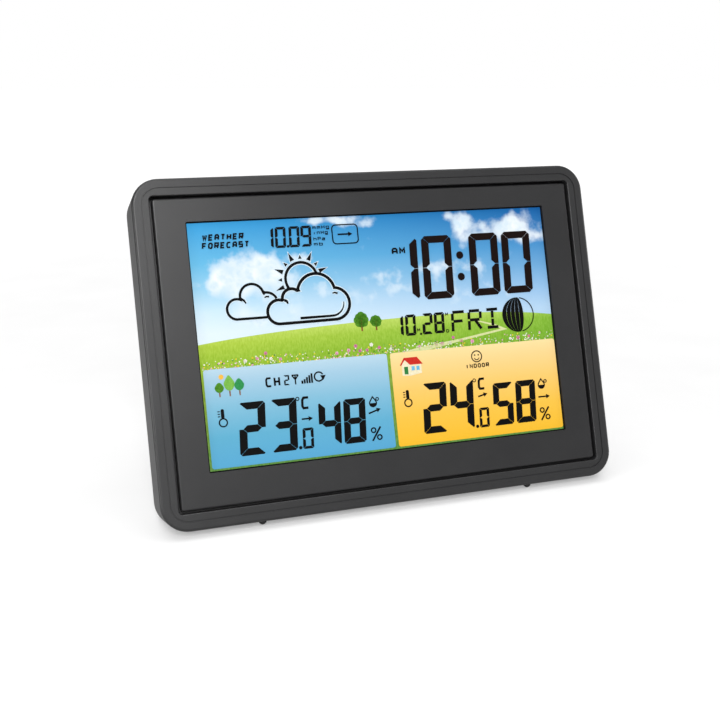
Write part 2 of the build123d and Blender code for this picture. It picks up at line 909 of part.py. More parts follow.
def make_case_screws():
    """The screws that hold the rear cover, frame and panel together."""
    seat = case_depth - counterbore_depth
    screws = Part()
    for x in mirrored_pair(boss_x):
        for z in mirrored_pair(case_boss_spacing / 2):
            screws += screw(
                case_screw_radius,
                case_screw_length,
                case_screw_head_radius,
                case_screw_head_height,
                seat,
                1,
                x,
                z,
            )
    return screws


def board_screw(seat, direction, x, z):
    """Small screw that holds a circuit board."""
    return screw(
        board_screw_radius,
        board_screw_length,
        board_screw_head_radius,
        board_screw_head_height,
        seat,
        direction,
        x,
        z,
    )


def make_board_screws():
    """The screws that hold the main board to the panel's posts."""
    screws = Part()
    for x in mirrored_pair(boss_x):
        for z in mirrored_pair(post_spacing / 2):
            screws += board_screw(board_back, 1, x, z)
    return screws


def button_screw_end():
    """Depth that the button board's screws reach in their posts."""
    return button_board_front + board_screw_length


def make_button_board_screws():
    """The screws that hold the button board, driven from inside the case."""
    screws = Part()
    for x in mirrored_pair(button_post_x):
        screws += board_screw(button_board_front, -1, x, button_z)
    return screws


def make_button_board():
    """Strip board that carries the six switches."""
    length = 2 * (button_row + button_board_end)
    radius = button_board_corner_radius
    board = plate(length, button_board_height, button_board_front, switch_front, radius, z=button_z)
    for x in mirrored_pair(button_post_x):
        board -= rod(board_screw_radius + screw_clearance, button_board_front, switch_front, x, button_z)
    return board


def make_switch_bodies():
    """Square switch housings, each bored for its plunger."""
    bodies = Part()
    for name, x in button_places():
        body = plate(switch_size, switch_size, switch_front, switch_back, switch_corner_radius, x, button_z)
        bore_front = switch_back - plunger_inside - button_travel - plunger_floor_gap
        bodies += body - rod(plunger_radius + plunger_gap, bore_front, switch_back, x, button_z)
    return bodies


def make_button(x):
    """Button cap with the flange that keeps it in and the stem that works its switch."""
    flange_back = back_inside - flange_wall_gap
    flange_front = flange_back - button_flange
    cap = button_outline(0, flange_back, case_depth + button_proud, x)
    cap = fillet(cap.faces().sort_by(Axis.Y)[-1].edges(), button_edge_radius)
    cap += button_outline(button_flange_lap, flange_front, flange_back, x)
    return cap + rod(button_stem_radius, plunger_back, flange_front, x, button_z)


def make_plunger(x):
    """Switch plunger that the button's stem pushes."""
    return rod(plunger_radius, switch_back - plunger_inside, plunger_back, x, button_z)


def make_dc_jack():
    """Moulded power inlet standing on the main board, with its mouth in the back wall."""
    body_back = back_inside - jack_body_gap
    body = plate(jack_width, jack_height, board_back, body_back, jack_corner_radius, jack_x, jack_z)
    mouth = case_depth - jack_barrel_recess
    jack = body + rod(jack_barrel_radius, board_back, mouth, jack_x, jack_z)
    return jack - rod(jack_bore_radius, mouth - jack_bore_depth, mouth, jack_x, jack_z)


def make_dc_jack_pin():
    """Centre pin of the power inlet."""
    root = case_depth - jack_barrel_recess - jack_bore_depth
    pin = rod(jack_pin_radius, root, root + jack_pin_length, jack_x, jack_z)
    return fillet(pin.faces().sort_by(Axis.Y)[-1].edges(), jack_pin_tip_radius)


def make_climate_sensor():
    """Temperature and humidity sensor with its slotted cap, behind the vents."""
    far = board_back + sensor_depth
    radius = sensor_corner_radius
    sensor = plate(sensor_width, sensor_height, board_back, far, radius, sensor_x, sensor_z)
    slot_width = sensor_width - 2 * sensor_slot_margin
    for i in range(sensor_slots):
        z = sensor_z + (i - (sensor_slots - 1) / 2) * sensor_slot_pitch
        sensor -= plate(slot_width, sensor_slot_width, far - sensor_slot_depth, far, x=sensor_x, z=z)
    return sensor


def make_chip():
    """Round resin blob over the processor."""
    chip = rod(chip_radius, board_back, board_back + chip_height, 0, hinge_z + chip_above_hinge)
    return fillet(chip.faces().sort_by(Axis.Y)[-1].edges(), chip_edge_radius)


def make_crystal():
    """Small metal can of the clock crystal, lying on the board."""
    place = Pos(board_back + crystal_radius, hinge_z + crystal_above_hinge)
    return along_x(place * Circle(crystal_radius), crystal_length)


def make_radio_module():
    """Receiver board on its row of pins."""
    near = board_back + radio_standoff
    far = near + board_thickness
    board = plate(radio_width, radio_height, near, far, radio_corner_radius, radio_x, radio_z)
    pin_z = radio_z - radio_height / 2 + radio_pin_above_edge
    for i in range(radio_pins):
        x = radio_x - radio_width / 2 + radio_pin_inset + i * radio_pin_pitch
        board += plate(radio_pin_side, radio_pin_side, board_back, near, x=x, z=pin_z)
    return board + plate(radio_can_side, radio_can_side, far, far + radio_can_height, x=radio_x, z=radio_z)


def make_pressure_sensor():
    """Small sensor package of the barometer."""
    far = board_back + pressure_height
    z = hinge_z + pressure_above_hinge
    return plate(pressure_width, pressure_depth, board_back, far, pressure_corner_radius, pressure_x, z)


def make_buzzer():
    """Round sounder on the main board, with its sound hole."""
    far = board_back + buzzer_height
    buzzer = rod(buzzer_radius, board_back, far, sensor_x, buzzer_z)
    buzzer = fillet(buzzer.edges(), buzzer_edge_radius)
    return buzzer - rod(buzzer_hole_radius, far - buzzer_hole_depth, far, sensor_x, buzzer_z)


def sheet(near, far, width, height):
    """One flat layer of the display stack."""
    return plate(width, height, near, far, z=window_z)


def make_nodes():
    """Every piece by name, in the upright case frame."""
    lead_reach = bay_length / 2 + bay_wall + lead_from_bay
    nodes = {
        "front_frame": make_front_frame(),
        "bezel_panel": make_bezel_panel(),
        "rear_cover": make_rear_cover(),
        "stand": make_stand(),
        "battery_door": make_battery_door(),
        "foot_left": make_foot(-foot_spacing / 2),
        "foot_right": make_foot(foot_spacing / 2),
        "lcd_front_polariser": sheet(
            panel_back,
            glass_front,
            display_width - 2 * polariser_inset,
            window_height + 2 * polariser_inset,
        ),
        "lcd_front_glass": plate(
            display_width,
            display_height - glass_ledge,
            glass_front,
            glass_split,
            z=window_z + glass_ledge / 2,
        ),
        "lcd_rear_glass": sheet(glass_split, tray_front, display_width, display_height),
        "colour_film": sheet(tray_front, diffuser_front, film_width, film_height),
        "diffuser_film": sheet(diffuser_front, guide_front, film_width, film_height),
        "light_guide": Pos(0, 0, window_z) * make_light_guide(),
        "reflector_film": sheet(reflector_front, tray_inside_back, film_width, film_height),
        "backlight_tray": make_backlight_tray(),
        "led_bar": make_led_bar(),
        "leds": make_leds(),
        "display_flex": make_display_flex(),
        "main_board": make_main_board(),
        "processor_chip": make_chip(),
        "clock_crystal": make_crystal(),
        "pressure_sensor": make_pressure_sensor(),
        "climate_sensor": make_climate_sensor(),
        "radio_module": make_radio_module(),
        "radio_antenna": make_antenna(),
        "buzzer": make_buzzer(),
        "dc_jack": make_dc_jack(),
        "dc_jack_pin": make_dc_jack_pin(),
        "button_board": make_button_board(),
        "switch_bodies": make_switch_bodies(),
        "button_ribbon": make_button_ribbon(),
        "cell_contacts": make_cell_contacts(),
        "cell_springs": make_cell_springs(),
        "battery_lead_red": make_lead(bay_x + lead_reach, cell_places()[0], red_lead_rise),
        "battery_lead_black": make_lead(bay_x - lead_reach, cell_places()[-1], black_lead_rise),
        "case_screws": make_case_screws(),
        "board_screws": make_board_screws(),
        "button_board_screws": make_button_board_screws(),
    }
    for i, z in enumerate(cell_places()):
        nodes[f"cell_{i + 1}"] = make_cell(z)
    for name, x in button_places():
        nodes[f"{name}_button"] = make_button(x)
        nodes[f"{name}_plunger"] = make_plunger(x)
    return nodes


def leaned(shape):
    """The shape leaned back with its front feet and stand at the table's level."""
    return Pos(0, 0, -table_level()) * Rot(-lean, 0, 0) * shape


nodes = {name: leaned(shape) for name, shape in make_nodes().items()}
overall = Compound(children=[solid for shape in nodes.values() for solid in shape.solids()]).bounding_box()
centre_y = (overall.min.Y + overall.max.Y) / 2


def placed_point(x, y, z):
    """A point of the upright case frame, in the row's frame."""
    tilt = radians(lean)
    across = y * cos(tilt) + z * sin(tilt) - centre_y
    return (x, across, z * cos(tilt) - y * sin(tilt) - table_level())


os.makedirs("parts", exist_ok=True)
for name, shape in nodes.items():
    export_step(Pos(0, -centre_y, 0) * shape, f"parts/{name}.step")
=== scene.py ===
"""Looks of a leaning home weather station, built around its fixed CAD frame."""

import functools
import itertools
import json
import logging
import math
import random
from dataclasses import dataclass
from enum import Enum

import bpy
from mathutils import Matrix, Vector


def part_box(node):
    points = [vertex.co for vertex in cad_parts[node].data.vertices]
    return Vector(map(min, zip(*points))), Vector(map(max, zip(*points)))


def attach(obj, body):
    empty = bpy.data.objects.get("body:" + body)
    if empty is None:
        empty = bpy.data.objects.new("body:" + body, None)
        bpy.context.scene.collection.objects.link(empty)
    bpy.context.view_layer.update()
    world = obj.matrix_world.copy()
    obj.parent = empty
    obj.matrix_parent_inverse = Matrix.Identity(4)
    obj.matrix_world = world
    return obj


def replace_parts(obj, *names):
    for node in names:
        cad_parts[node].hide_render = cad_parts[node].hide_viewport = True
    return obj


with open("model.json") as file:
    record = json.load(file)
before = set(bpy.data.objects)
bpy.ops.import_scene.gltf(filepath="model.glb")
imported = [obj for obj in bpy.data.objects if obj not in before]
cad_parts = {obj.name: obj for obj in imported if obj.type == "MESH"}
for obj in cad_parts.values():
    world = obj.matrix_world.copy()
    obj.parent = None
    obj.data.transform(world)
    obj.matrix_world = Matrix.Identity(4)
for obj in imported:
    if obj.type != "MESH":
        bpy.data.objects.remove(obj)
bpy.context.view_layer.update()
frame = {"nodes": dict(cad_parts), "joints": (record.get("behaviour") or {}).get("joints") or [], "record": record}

MM = 0.001
CASE_BODY = "case"
CLOUD_MASK = "cloud"            # attribute of the sky sheet that says where its clouds are
Point = tuple[float, float]
Outline = list[Point]
Socket = bpy.types.NodeSocket
log = logging.getLogger("weather_station")


# ---------------------------------------------------------------- materials


def linear(hex_colour: str) -> tuple[float, float, float, float]:
    """Turns an sRGB hex colour into linear light.

    Args:
        hex_colour: a colour such as "#3a3b3c".

    Returns:
        Red, green, blue and an alpha of 1, for a shader socket.
    """
    values = [int(hex_colour[i:i + 2], 16) / 255 for i in (1, 3, 5)]
    lit = [v / 12.92 if v <= 0.04045 else ((v + 0.055) / 1.055) ** 2.4 for v in values]
    return (lit[0], lit[1], lit[2], 1.0)


def add(
    tree: bpy.types.NodeTree,
    kind: str,
    settings: dict | None = None,
    links: dict[str | int, Socket] | None = None,
) -> bpy.types.Node:
    """Adds one node with its settings and links.

    Args:
        tree: the node tree that it goes into.
        kind: Blender's name for the node, without the ShaderNode in front.
        settings: values by input name, input number or property; "stops" holds a ramp's colours.
        links: the sockets that feed its inputs, by input name or number.

    Returns:
        The new node.
    """
    node = tree.nodes.new("ShaderNode" + kind)
    for key, value in (settings or {}).items():
        if key == "stops":
            ramp = node.color_ramp.elements
            while len(ramp) < len(value):
                ramp.new(1.0)
            for element, (place, colour) in zip(ramp, value):
                element.position = place
                element.color = linear(colour)
        elif isinstance(key, int) or key in node.inputs:
            node.inputs[key].default_value = value
        else:
            setattr(node, key, value)
    for key, socket in (links or {}).items():
        tree.links.new(socket, node.inputs[key])
    return node


MIX_FACTOR, MIX_A, MIX_B, MIX_RESULT = 0, 6, 7, 2      # colour sockets of the Mix node


def mixed(
    tree: bpy.types.NodeTree,
    factor: Socket | float,
    first: Socket | str,
    second: Socket | str,
    how: str = "MIX",
) -> Socket:
    """Mixes two colours; each is a socket or a hex colour.

    Args:
        tree: the node tree.
        factor: the socket or number that says how much of the second colour shows.
        first: the colour at a factor of 0.
        second: the colour at a factor of 1.
        how: Blender's name for the way that they mix.

    Returns:
        The mixed colour's socket.
    """
    settings, links = {"data_type": "RGBA", "blend_type": how}, {}
    for key, value in ((MIX_FACTOR, factor), (MIX_A, first), (MIX_B, second)):
        if isinstance(value, str):
            settings[key] = linear(value)
        elif isinstance(value, (int, float)):
            settings[key] = value
        else:
            links[key] = value
    return add(tree, "Mix", settings, links).outputs[MIX_RESULT]


def per_metre(size_mm: float) -> float:
    """Texture scale at which a pattern repeats about once every size_mm."""
    return 1.0 / (size_mm * MM)


NOISE_RANGE = (0.3, 0.7)        # a noise pattern rarely leaves this part of 0 to 1


class Surface:
    """A material being made: its tree, its shader and the coordinates its patterns follow."""

    def __init__(self, name: str, **constants: float) -> None:
        """Starts a material whose shader has the given constants.

        Args:
            name: the finish's name.
            constants: values for the shader's own sockets, with _ for a space.
        """
        self.material = bpy.data.materials.new(name)
        self.material.use_nodes = True
        self.tree = self.material.node_tree
        self.shader = self.tree.nodes["Principled BSDF"]
        for key, value in constants.items():
            self.shader.inputs[key.replace("_", " ")].default_value = value
        self.coords = add(self.tree, "TexCoord").outputs["Object"]

    def feed(self, socket: str, source: Socket) -> None:
        """Links a pattern into one of the shader's sockets."""
        self.tree.links.new(source, self.shader.inputs[socket])

    def noise(self, size_mm: float, detail: float = 3.0) -> Socket:
        """Cloudy pattern with patches about size_mm across, as a socket from 0 to 1."""
        settings = {"Scale": per_metre(size_mm), "Detail": detail}
        return add(self.tree, "TexNoise", settings, {"Vector": self.coords}).outputs["Fac"]

    def spread(self, source: Socket, low: float, high: float) -> Socket:
        """Stretches a noise pattern, which keeps near its middle, to run from low to high.

        Args:
            source: the pattern.
            low: the value at the pattern's low end.
            high: the value at its high end.

        Returns:
            The pattern's socket.
        """
        least, most = NOISE_RANGE
        settings = {"From Min": least, "From Max": most, "To Min": low, "To Max": high}
        return add(self.tree, "MapRange", settings, {"Value": source}).outputs["Result"]

    def gloss(self, source: Socket, middle: float, swing: Point) -> None:
        """Makes the surface smoother and rougher than its middle value, by the swing's two ends."""
        self.feed("Roughness", self.spread(source, middle + swing[0], middle + swing[1]))

    def relief(self, height: Socket, depth_mm: float) -> None:
        """Raises a pattern out of the surface by depth_mm.

        Args:
            height: the pattern.
            depth_mm: how far it is raised.
        """
        settings = {"Strength": 1.0, "Distance": depth_mm * MM}
        bump = add(self.tree, "Bump", settings, {"Height": height})
        self.feed("Normal", bump.outputs["Normal"])


@dataclass(frozen=True)
class MouldedPlastic:
    """Injection-moulded plastic or rubber with an eroded tool texture."""

    name: str
    colour: str
    worn: str                       # colour of the paler, handled patches
    roughness: float
    ior: float = 1.54
    grain_mm: float = 0.4           # real grain is under 0.1 mm, so it is drawn coarser to show
    grain_detail: float = 2.0
    grain_depth_mm: float = 0.012
    grain_gloss: Point = (-0.04, 0.06)
    patch_mm: float = 24.0
    specular: float = 0.5

    def build(self) -> bpy.types.Material:
        """Satin surface: faint paler patches, and a fine grain that breaks up its highlights.

        Returns:
            The finished material.
        """
        surface = Surface(self.name, IOR=self.ior, Specular_IOR_Level=self.specular)
        patches = surface.spread(surface.noise(self.patch_mm), 0.0, 1.0)
        surface.feed("Base Color", mixed(surface.tree, patches, self.colour, self.worn))
        grain = surface.noise(self.grain_mm, self.grain_detail)
        surface.gloss(grain, self.roughness, self.grain_gloss)
        surface.relief(grain, self.grain_depth_mm)
        return surface.material


class MetalSurface(Enum):
    """How a metal's surface was left, and how many times as long as wide its scratches are."""

    TUMBLED = 1.0
    DRAWN = 12.0


@dataclass(frozen=True)
class PlatedMetal:
    """Plated steel or brass, tumbled or drawn."""

    name: str
    colour: str
    tarnish: str
    roughness: float
    made: MetalSurface
    tarnish_mm: float = 3.0
    most_tarnish: float = 0.6
    scratch_mm: float = 0.3         # real scratches are finer, and wouldn't show
    scratch_detail: float = 4.0
    scratch_depth_mm: float = 0.004
    scratch_gloss: Point = (-0.08, 0.12)

    def build(self) -> bpy.types.Material:
        """Bright metal with a little tarnish and fine scratches, longer where it was drawn.

        Returns:
            The finished material.
        """
        surface = Surface(self.name, Metallic=1.0)
        dull = surface.spread(surface.noise(self.tarnish_mm), 0.0, self.most_tarnish)
        surface.feed("Base Color", mixed(surface.tree, dull, self.colour, self.tarnish))
        settings = {"Scale": (1.0 / self.made.value, 1.0, 1.0)}
        stretched = add(surface.tree, "Mapping", settings, {"Vector": surface.coords})
        noise = {"Scale": per_metre(self.scratch_mm), "Detail": self.scratch_detail}
        scratches = add(surface.tree, "TexNoise", noise, {"Vector": stretched.outputs[0]}).outputs["Fac"]
        surface.gloss(scratches, self.roughness, self.scratch_gloss)
        surface.relief(scratches, self.scratch_depth_mm)
        return surface.material


@dataclass(frozen=True)
class ClearSheet:
    """Float glass or cast acrylic sheet."""

    name: str
    colour: str
    ior: float
    haze_mm: float = 9.0
    haze_roughness: Point = (0.02, 0.06)

    def build(self) -> bpy.types.Material:
        """Clear sheet with a faint tint and dust-fine roughness.

        Returns:
            The finished material.
        """
        surface = Surface(self.name, IOR=self.ior, Transmission_Weight=1.0)
        haze = surface.noise(self.haze_mm)
        surface.feed("Base Color", mixed(surface.tree, haze, "#ffffff", self.colour))
        surface.feed("Roughness", surface.spread(haze, *self.haze_roughness))
        return surface.material


@dataclass(frozen=True)
class CircuitLaminate:
    """Glass-fibre board or polyimide film with etched copper under a lacquer."""

    name: str
    lacquer: str
    copper: str
    track_mm: float = 1.2
    tracks_apart: float = 3.0       # in track widths
    track_edge: Point = (0.1, 0.14)             # where a track ends, as a share of their spacing
    track_shows: float = 0.55
    track_height_mm: float = 0.03
    ior: float = 1.55
    roughness: float = 0.32

    def build(self) -> bpy.types.Material:
        """Glossy lacquer with paler, slightly raised tracks running under it.

        Returns:
            The finished material.
        """
        surface = Surface(self.name, IOR=self.ior, Roughness=self.roughness)
        cells = {"Scale": per_metre(self.track_mm * self.tracks_apart), "feature": "DISTANCE_TO_EDGE"}
        edge = add(surface.tree, "TexVoronoi", cells, {"Vector": surface.coords}).outputs["Distance"]
        inside, outside = self.track_edge
        near = {"From Min": inside, "From Max": outside, "To Min": self.track_shows, "To Max": 0.0}
        tracks = add(surface.tree, "MapRange", near, {"Value": edge}).outputs["Result"]
        surface.feed("Base Color", mixed(surface.tree, tracks, self.lacquer, self.copper))
        surface.relief(tracks, self.track_height_mm)
        return surface.material


WAVE_SCALE = math.pi / 10       # scale at which the wave texture has one band to the metre


@dataclass(frozen=True)
class BandedSleeve:
    """Extruded insulation or printed sleeve with bands along X."""

    name: str
    colour: str
    band: str
    band_mm: float
    share: float                    # how much of the sleeve the bands take
    roughness: float = 0.4
    ior: float = 1.5
    band_blur: float = 0.02
    gloss_mm: float = 2.0
    gloss_swing: Point = (-0.06, 0.06)

    def build(self) -> bpy.types.Material:
        """Smooth sleeve with contrasting bands and a little unevenness in its gloss.

        Returns:
            The finished material.
        """
        surface = Surface(self.name, IOR=self.ior)
        settings = {"Scale": per_metre(self.band_mm) * WAVE_SCALE, "wave_profile": "TRI"}
        wave = add(surface.tree, "TexWave", settings, {"Vector": surface.coords}).outputs["Fac"]
        start = 1 - self.share
        limits = {"From Min": start - self.band_blur, "From Max": start + self.band_blur}
        bands = add(surface.tree, "MapRange", limits, {"Value": wave}).outputs["Result"]
        surface.feed("Base Color", mixed(surface.tree, bands, self.colour, self.band))
        surface.gloss(surface.noise(self.gloss_mm), self.roughness, self.gloss_swing)
        return surface.material


FILM_IOR = 1.49                 # triacetate film
FILM_ROUGHNESS = 0.5            # its face is etched matt
FILM_SPECULAR = 0.06            # and coated against reflections
DISPLAY_GLOW = 0.42             # share of a colour's brightness that comes from behind
DISPLAY_ABSORBS = 0.6           # share of the room's light that the display swallows


def film(name: str, glow: float) -> Surface:
    """Starts the material of a matt display film that is lit from behind.

    Args:
        name: the finish's name.
        glow: how strongly its colour is lit.

    Returns:
        The material being made.
    """
    looks = {"Specular_IOR_Level": FILM_SPECULAR, "Emission_Strength": glow}
    return Surface(name, IOR=FILM_IOR, Roughness=FILM_ROUGHNESS, **looks)


def light_up(surface: Surface, colour: Socket) -> None:
    """Feeds a display colour to the shader, partly lit from behind and partly by the room.

    Args:
        surface: the material being made.
        colour: the colour's socket.
    """
    surface.feed("Emission Color", colour)
    surface.feed("Base Color", mixed(surface.tree, DISPLAY_ABSORBS, colour, "#000000"))


@dataclass(frozen=True)
class DisplayInk:
    """One colour of the lit display, printed or formed by the liquid crystal."""

    name: str
    colour: str
    shade: str
    glow: float = DISPLAY_GLOW
    mottle_mm: float = 0.7

    def build(self) -> bpy.types.Material:
        """Evenly lit matt film whose tint wanders a little, as a dot-printed colour does.

        Returns:
            The finished material.
        """
        surface = film(self.name, self.glow)
        tint = surface.spread(surface.noise(self.mottle_mm), 0.0, 1.0)
        light_up(surface, mixed(surface.tree, tint, self.colour, self.shade))
        return surface.material


@dataclass(frozen=True)
class GradientPrint:
    """Printed film whose colour runs up the display, and differs from left to right."""

    name: str
    low: float                      # heights, in mm on the face, that the stops run between
    high: float
    left: tuple[tuple[float, str], ...]
    right: tuple[tuple[float, str], ...]
    half_width: float = 80.0
    glow: float = DISPLAY_GLOW

    def colour(self, surface: Surface) -> Socket:
        """Builds the gradient.

        Args:
            surface: the material being made.

        Returns:
            The colour's socket.
        """
        tree = surface.tree
        place = add(tree, "SeparateXYZ", links={"Vector": surface.coords})
        limits = {"From Min": self.low * MM, "From Max": self.high * MM}
        height = add(tree, "MapRange", limits, {"Value": place.outputs["Z"]}).outputs["Result"]
        width = {"From Min": -self.half_width * MM, "From Max": self.half_width * MM}
        across = add(tree, "MapRange", width, {"Value": place.outputs["X"]}).outputs["Result"]
        sides = [
            add(tree, "ValToRGB", {"stops": stops}, {"Fac": height}).outputs["Color"]
            for stops in (self.left, self.right)
        ]
        return mixed(tree, across, *sides)

    def overprint(self, surface: Surface, colour: Socket) -> Socket:
        """Leaves a plain gradient as it is."""
        return colour

    def build(self) -> bpy.types.Material:
        """Smooth lit gradient, under whatever its kind of print lays over it.

        Returns:
            The finished material.
        """
        surface = film(self.name, self.glow)
        light_up(surface, self.overprint(surface, self.colour(surface)))
        return surface.material


@dataclass(frozen=True)
class SkyPrint(GradientPrint):
    """The printed sky: a blue gradient with clouds where the sheet's cloud mask says."""

    puff_mm: float = 7.0
    puff_detail: float = 5.0
    billow: float = 0.32            # how far the puffs move a cloud's edge, as a share of its mask
    cloud_edge: Point = (0.3, 0.85)             # mask values between which the sky turns to cloud
    cloud_white: str = "#f7fbfe"
    cloud_shade: str = "#d3e7f5"

    def overprint(self, surface: Surface, colour: Socket) -> Socket:
        """Lays white clouds with broken edges over the sky.

        Args:
            surface: the material being made.
            colour: the sky's colour.

        Returns:
            The clouded colour's socket.
        """
        tree = surface.tree
        mask = add(tree, "Attribute", {"attribute_name": CLOUD_MASK}).outputs["Fac"]
        puffs = surface.spread(surface.noise(self.puff_mm, self.puff_detail), -self.billow, self.billow)
        joined = add(tree, "Math", {"operation": "ADD"}, {0: mask, 1: puffs}).outputs[0]
        clear, full = self.cloud_edge
        limits = {"From Min": clear, "From Max": full, "interpolation_type": "SMOOTHSTEP"}
        cover = add(tree, "MapRange", limits, {"Value": joined}).outputs["Result"]
        shade = surface.spread(surface.noise(self.puff_mm / 2), 0.0, 1.0)
        return mixed(tree, cover, colour, mixed(tree, shade, self.cloud_white, self.cloud_shade))


@dataclass(frozen=True)
class MeadowPrint(GradientPrint):
    """The printed meadow, with blades of grass too fine to count."""

    blade_mm: float = 0.55          # real print has blades under 0.3 mm, so they are drawn coarser
    blade_detail: float = 4.0
    blade_shape: tuple[float, float, float] = (1.0, 1.0, 0.35)      # taller than wide
    dark: tuple[float, str] = (0.13, "#2f5a10")
    light: tuple[float, str] = (0.1, "#f2ffa0")

    def overprint(self, surface: Surface, colour: Socket) -> Socket:
        """Darkens and lightens the green in short upright strokes.

        Args:
            surface: the material being made.
            colour: the gradient's colour.

        Returns:
            The grassy colour's socket.
        """
        tree = surface.tree
        tall = add(tree, "Mapping", {"Scale": self.blade_shape}, {"Vector": surface.coords}).outputs[0]
        noise = {"Scale": per_metre(self.blade_mm), "Detail": self.blade_detail}
        grass = add(tree, "TexNoise", noise, {"Vector": tall}).outputs["Fac"]
        tone = surface.spread(grass, 0.0, 1.0)
        darker = mixed(tree, self.dark[0], colour, self.dark[1], "MULTIPLY")
        lighter = mixed(tree, self.light[0], colour, self.light[1], "SCREEN")
        return mixed(tree, tone, darker, lighter)


CHARCOAL = "#1c1c1d"
CHARCOAL_WORN = "#212122"
FINISHES = {
    # ABS in a fine eroded tool: satin, so the face carries one broad soft highlight.
    "case_plastic": MouldedPlastic("abs_moulded_charcoal", CHARCOAL, CHARCOAL_WORN, 0.42, specular=0.4),
    # The same ABS from a finer tool, a touch darker and smoother than the frame around it.
    "panel_plastic": MouldedPlastic(
        "abs_moulded_fine_charcoal", "#1b1b1c", "#202021", 0.4, grain_mm=0.3, specular=0.4
    ),
    # Button caps: ABS rubbed a little paler by fingers.
    "button_plastic": MouldedPlastic("abs_moulded_button", "#2c2c2e", "#3a3a3c", 0.5, patch_mm=5.0),
    # Natural nylon, waxy off-white.
    "plunger_plastic": MouldedPlastic("nylon_moulded_natural", "#e6e2d4", "#d8d3c2", 0.45, ior=1.53),
    # Nitrile rubber: black and nearly without gloss.
    "foot_rubber": MouldedPlastic("rubber_moulded_black", "#161616", "#222222", 0.78, ior=1.52),
    # White polystyrene tray, bright so that it throws the light forward.
    "white_plastic": MouldedPlastic("polystyrene_moulded_white", "#f0f0ec", "#e4e4de", 0.42, ior=1.59),
    # Epoxy and phenolic mouldings: dark, slightly glossy.
    "resin_black": MouldedPlastic("epoxy_moulded_black", "#1b1b1d", "#242426", 0.36, ior=1.57),
    # Lamp packages: white silicone over yellow phosphor.
    "led_white": MouldedPlastic("silicone_cast_white", "#f4f1dc", "#f1e6a0", 0.3, ior=1.41, patch_mm=1.5),
    # Films behind the display: matt white polyester.
    "white_film": MouldedPlastic("polyester_rolled_white", "#f6f6f4", "#ececea", 0.6, ior=1.64),
    # Colour film: the printed picture seen from its edge, pale blue to green.
    "colour_film": MouldedPlastic("polyester_printed_colour", "#9fd0ea", "#b9d66a", 0.5, ior=1.64),
    # Float glass: clear, with a faint green that shows at its edges.
    "display_glass": ClearSheet("soda_lime_float_glass", "#e3f1ea", 1.52),
    # Cast acrylic light guide: clear and hardly blue.
    "clear_acrylic": ClearSheet("acrylic_cast_clear", "#f1f8ff", 1.49),
    # Glass epoxy under green lacquer: glossy, with paler tracks.
    "board_green": CircuitLaminate("glass_epoxy_green_lacquer", "#1d5a34", "#3b8a4d"),
    # Polyimide film: amber, with its copper showing through.
    "flex_amber": CircuitLaminate("polyimide_amber_film", "#a8641c", "#d08a3a", 0.8),
    # Tumbled nickel plate: warm, with an even soft shine.
    "nickel_plate": PlatedMetal("nickel_plated_tumbled", "#cfc8bb", "#a49b8a", 0.3, MetalSurface.TUMBLED),
    # Drawn steel under zinc: cooler, with long fine scratches.
    "screw_steel": PlatedMetal("zinc_plated_steel", "#b9bcc0", "#8e9297", 0.34, MetalSurface.DRAWN),
    # Cell jacket: printed shrink sleeve with one broad band.
    "cell_jacket": BandedSleeve("pvc_shrink_sleeve", "#2f3338", "#b98a3c", 44.0, 0.3, 0.28),
    # Extruded insulation: smooth, with hardly visible bands.
    "lead_red": BandedSleeve("pvc_extruded_red", "#b3201c", "#a31a17", 6.0, 0.3),
    "lead_black": BandedSleeve("pvc_extruded_black", "#1a1a1b", "#232324", 6.0, 0.3),
    # Ribbon cable: a darker line between its wires.
    "ribbon_grey": BandedSleeve("pvc_ribbon_grey", "#a9abad", "#8b8d90", 1.27, 0.4),
}


# ---------------------------------------------------------------- the case's own axes


@dataclass(frozen=True)
class CaseAxes:
    """The leaning case's axes: across, up the face, and back from the face."""

    centre: Vector                  # middle of the case's front face
    up: Vector
    back: Vector
    display_depth: float = 2.1      # front of the display film behind the face, in mm
    film_thickness: float = 0.2
    window_rise: float = 2.0        # the window's middle above the face's middle, in mm

    @classmethod
    def from_frame(cls) -> "CaseAxes":
        """Reads the axes from the battery door's slide and the display film's place.

        Returns:
            The case's axes.
        """
        slide = next(j for j in frame["joints"] if j["name"] == "battery_door_lift")
        back = Vector(slide["axis"]).normalized()
        up = Vector((0.0, -back.z, back.y))
        low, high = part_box("lcd_front_polariser")
        depth = (cls.display_depth + cls.film_thickness / 2) * MM
        centre = (low + high) / 2 - back * depth - up * cls.window_rise * MM
        return cls(centre, up, back)

    def matrix(self) -> Matrix:
        """Places a mesh drawn upright, with the window's middle as its origin.

        Returns:
            The mesh's place in the world.
        """
        origin = self.centre + self.up * self.window_rise * MM
        columns = (Vector((1, 0, 0)), self.back, self.up)
        turned = Matrix([[c[i] for c in columns] for i in range(3)]).to_4x4()
        return Matrix.Translation(origin) @ turned


# ---------------------------------------------------------------- flat drawing


ROUND_POINTS = 14               # sides of the smallest whole circle, and more per mm of radius
ROUND_POINTS_PER_MM = 5
LEAST_ARC_SIDES = 4


def arc(centre: Point, radius: float, start: float, stop: float) -> Outline:
    """Points along an arc.

    Args:
        centre: its centre, in mm.
        radius: its radius, in mm.
        start: the angle that it starts at, in degrees anticlockwise from the right.
        stop: the angle that it ends at.

    Returns:
        The points, both ends included.
    """
    whole = ROUND_POINTS + ROUND_POINTS_PER_MM * radius
    steps = max(LEAST_ARC_SIDES, round(abs(stop - start) / 360 * whole))
    angles = [math.radians(start + (stop - start) * i / steps) for i in range(steps + 1)]
    return [(centre[0] + radius * math.cos(a), centre[1] + radius * math.sin(a)) for a in angles]


def disc(centre: Point, radius: float) -> Outline:
    """Outline of a round dot."""
    return arc(centre, radius, 0, 360)[:-1]


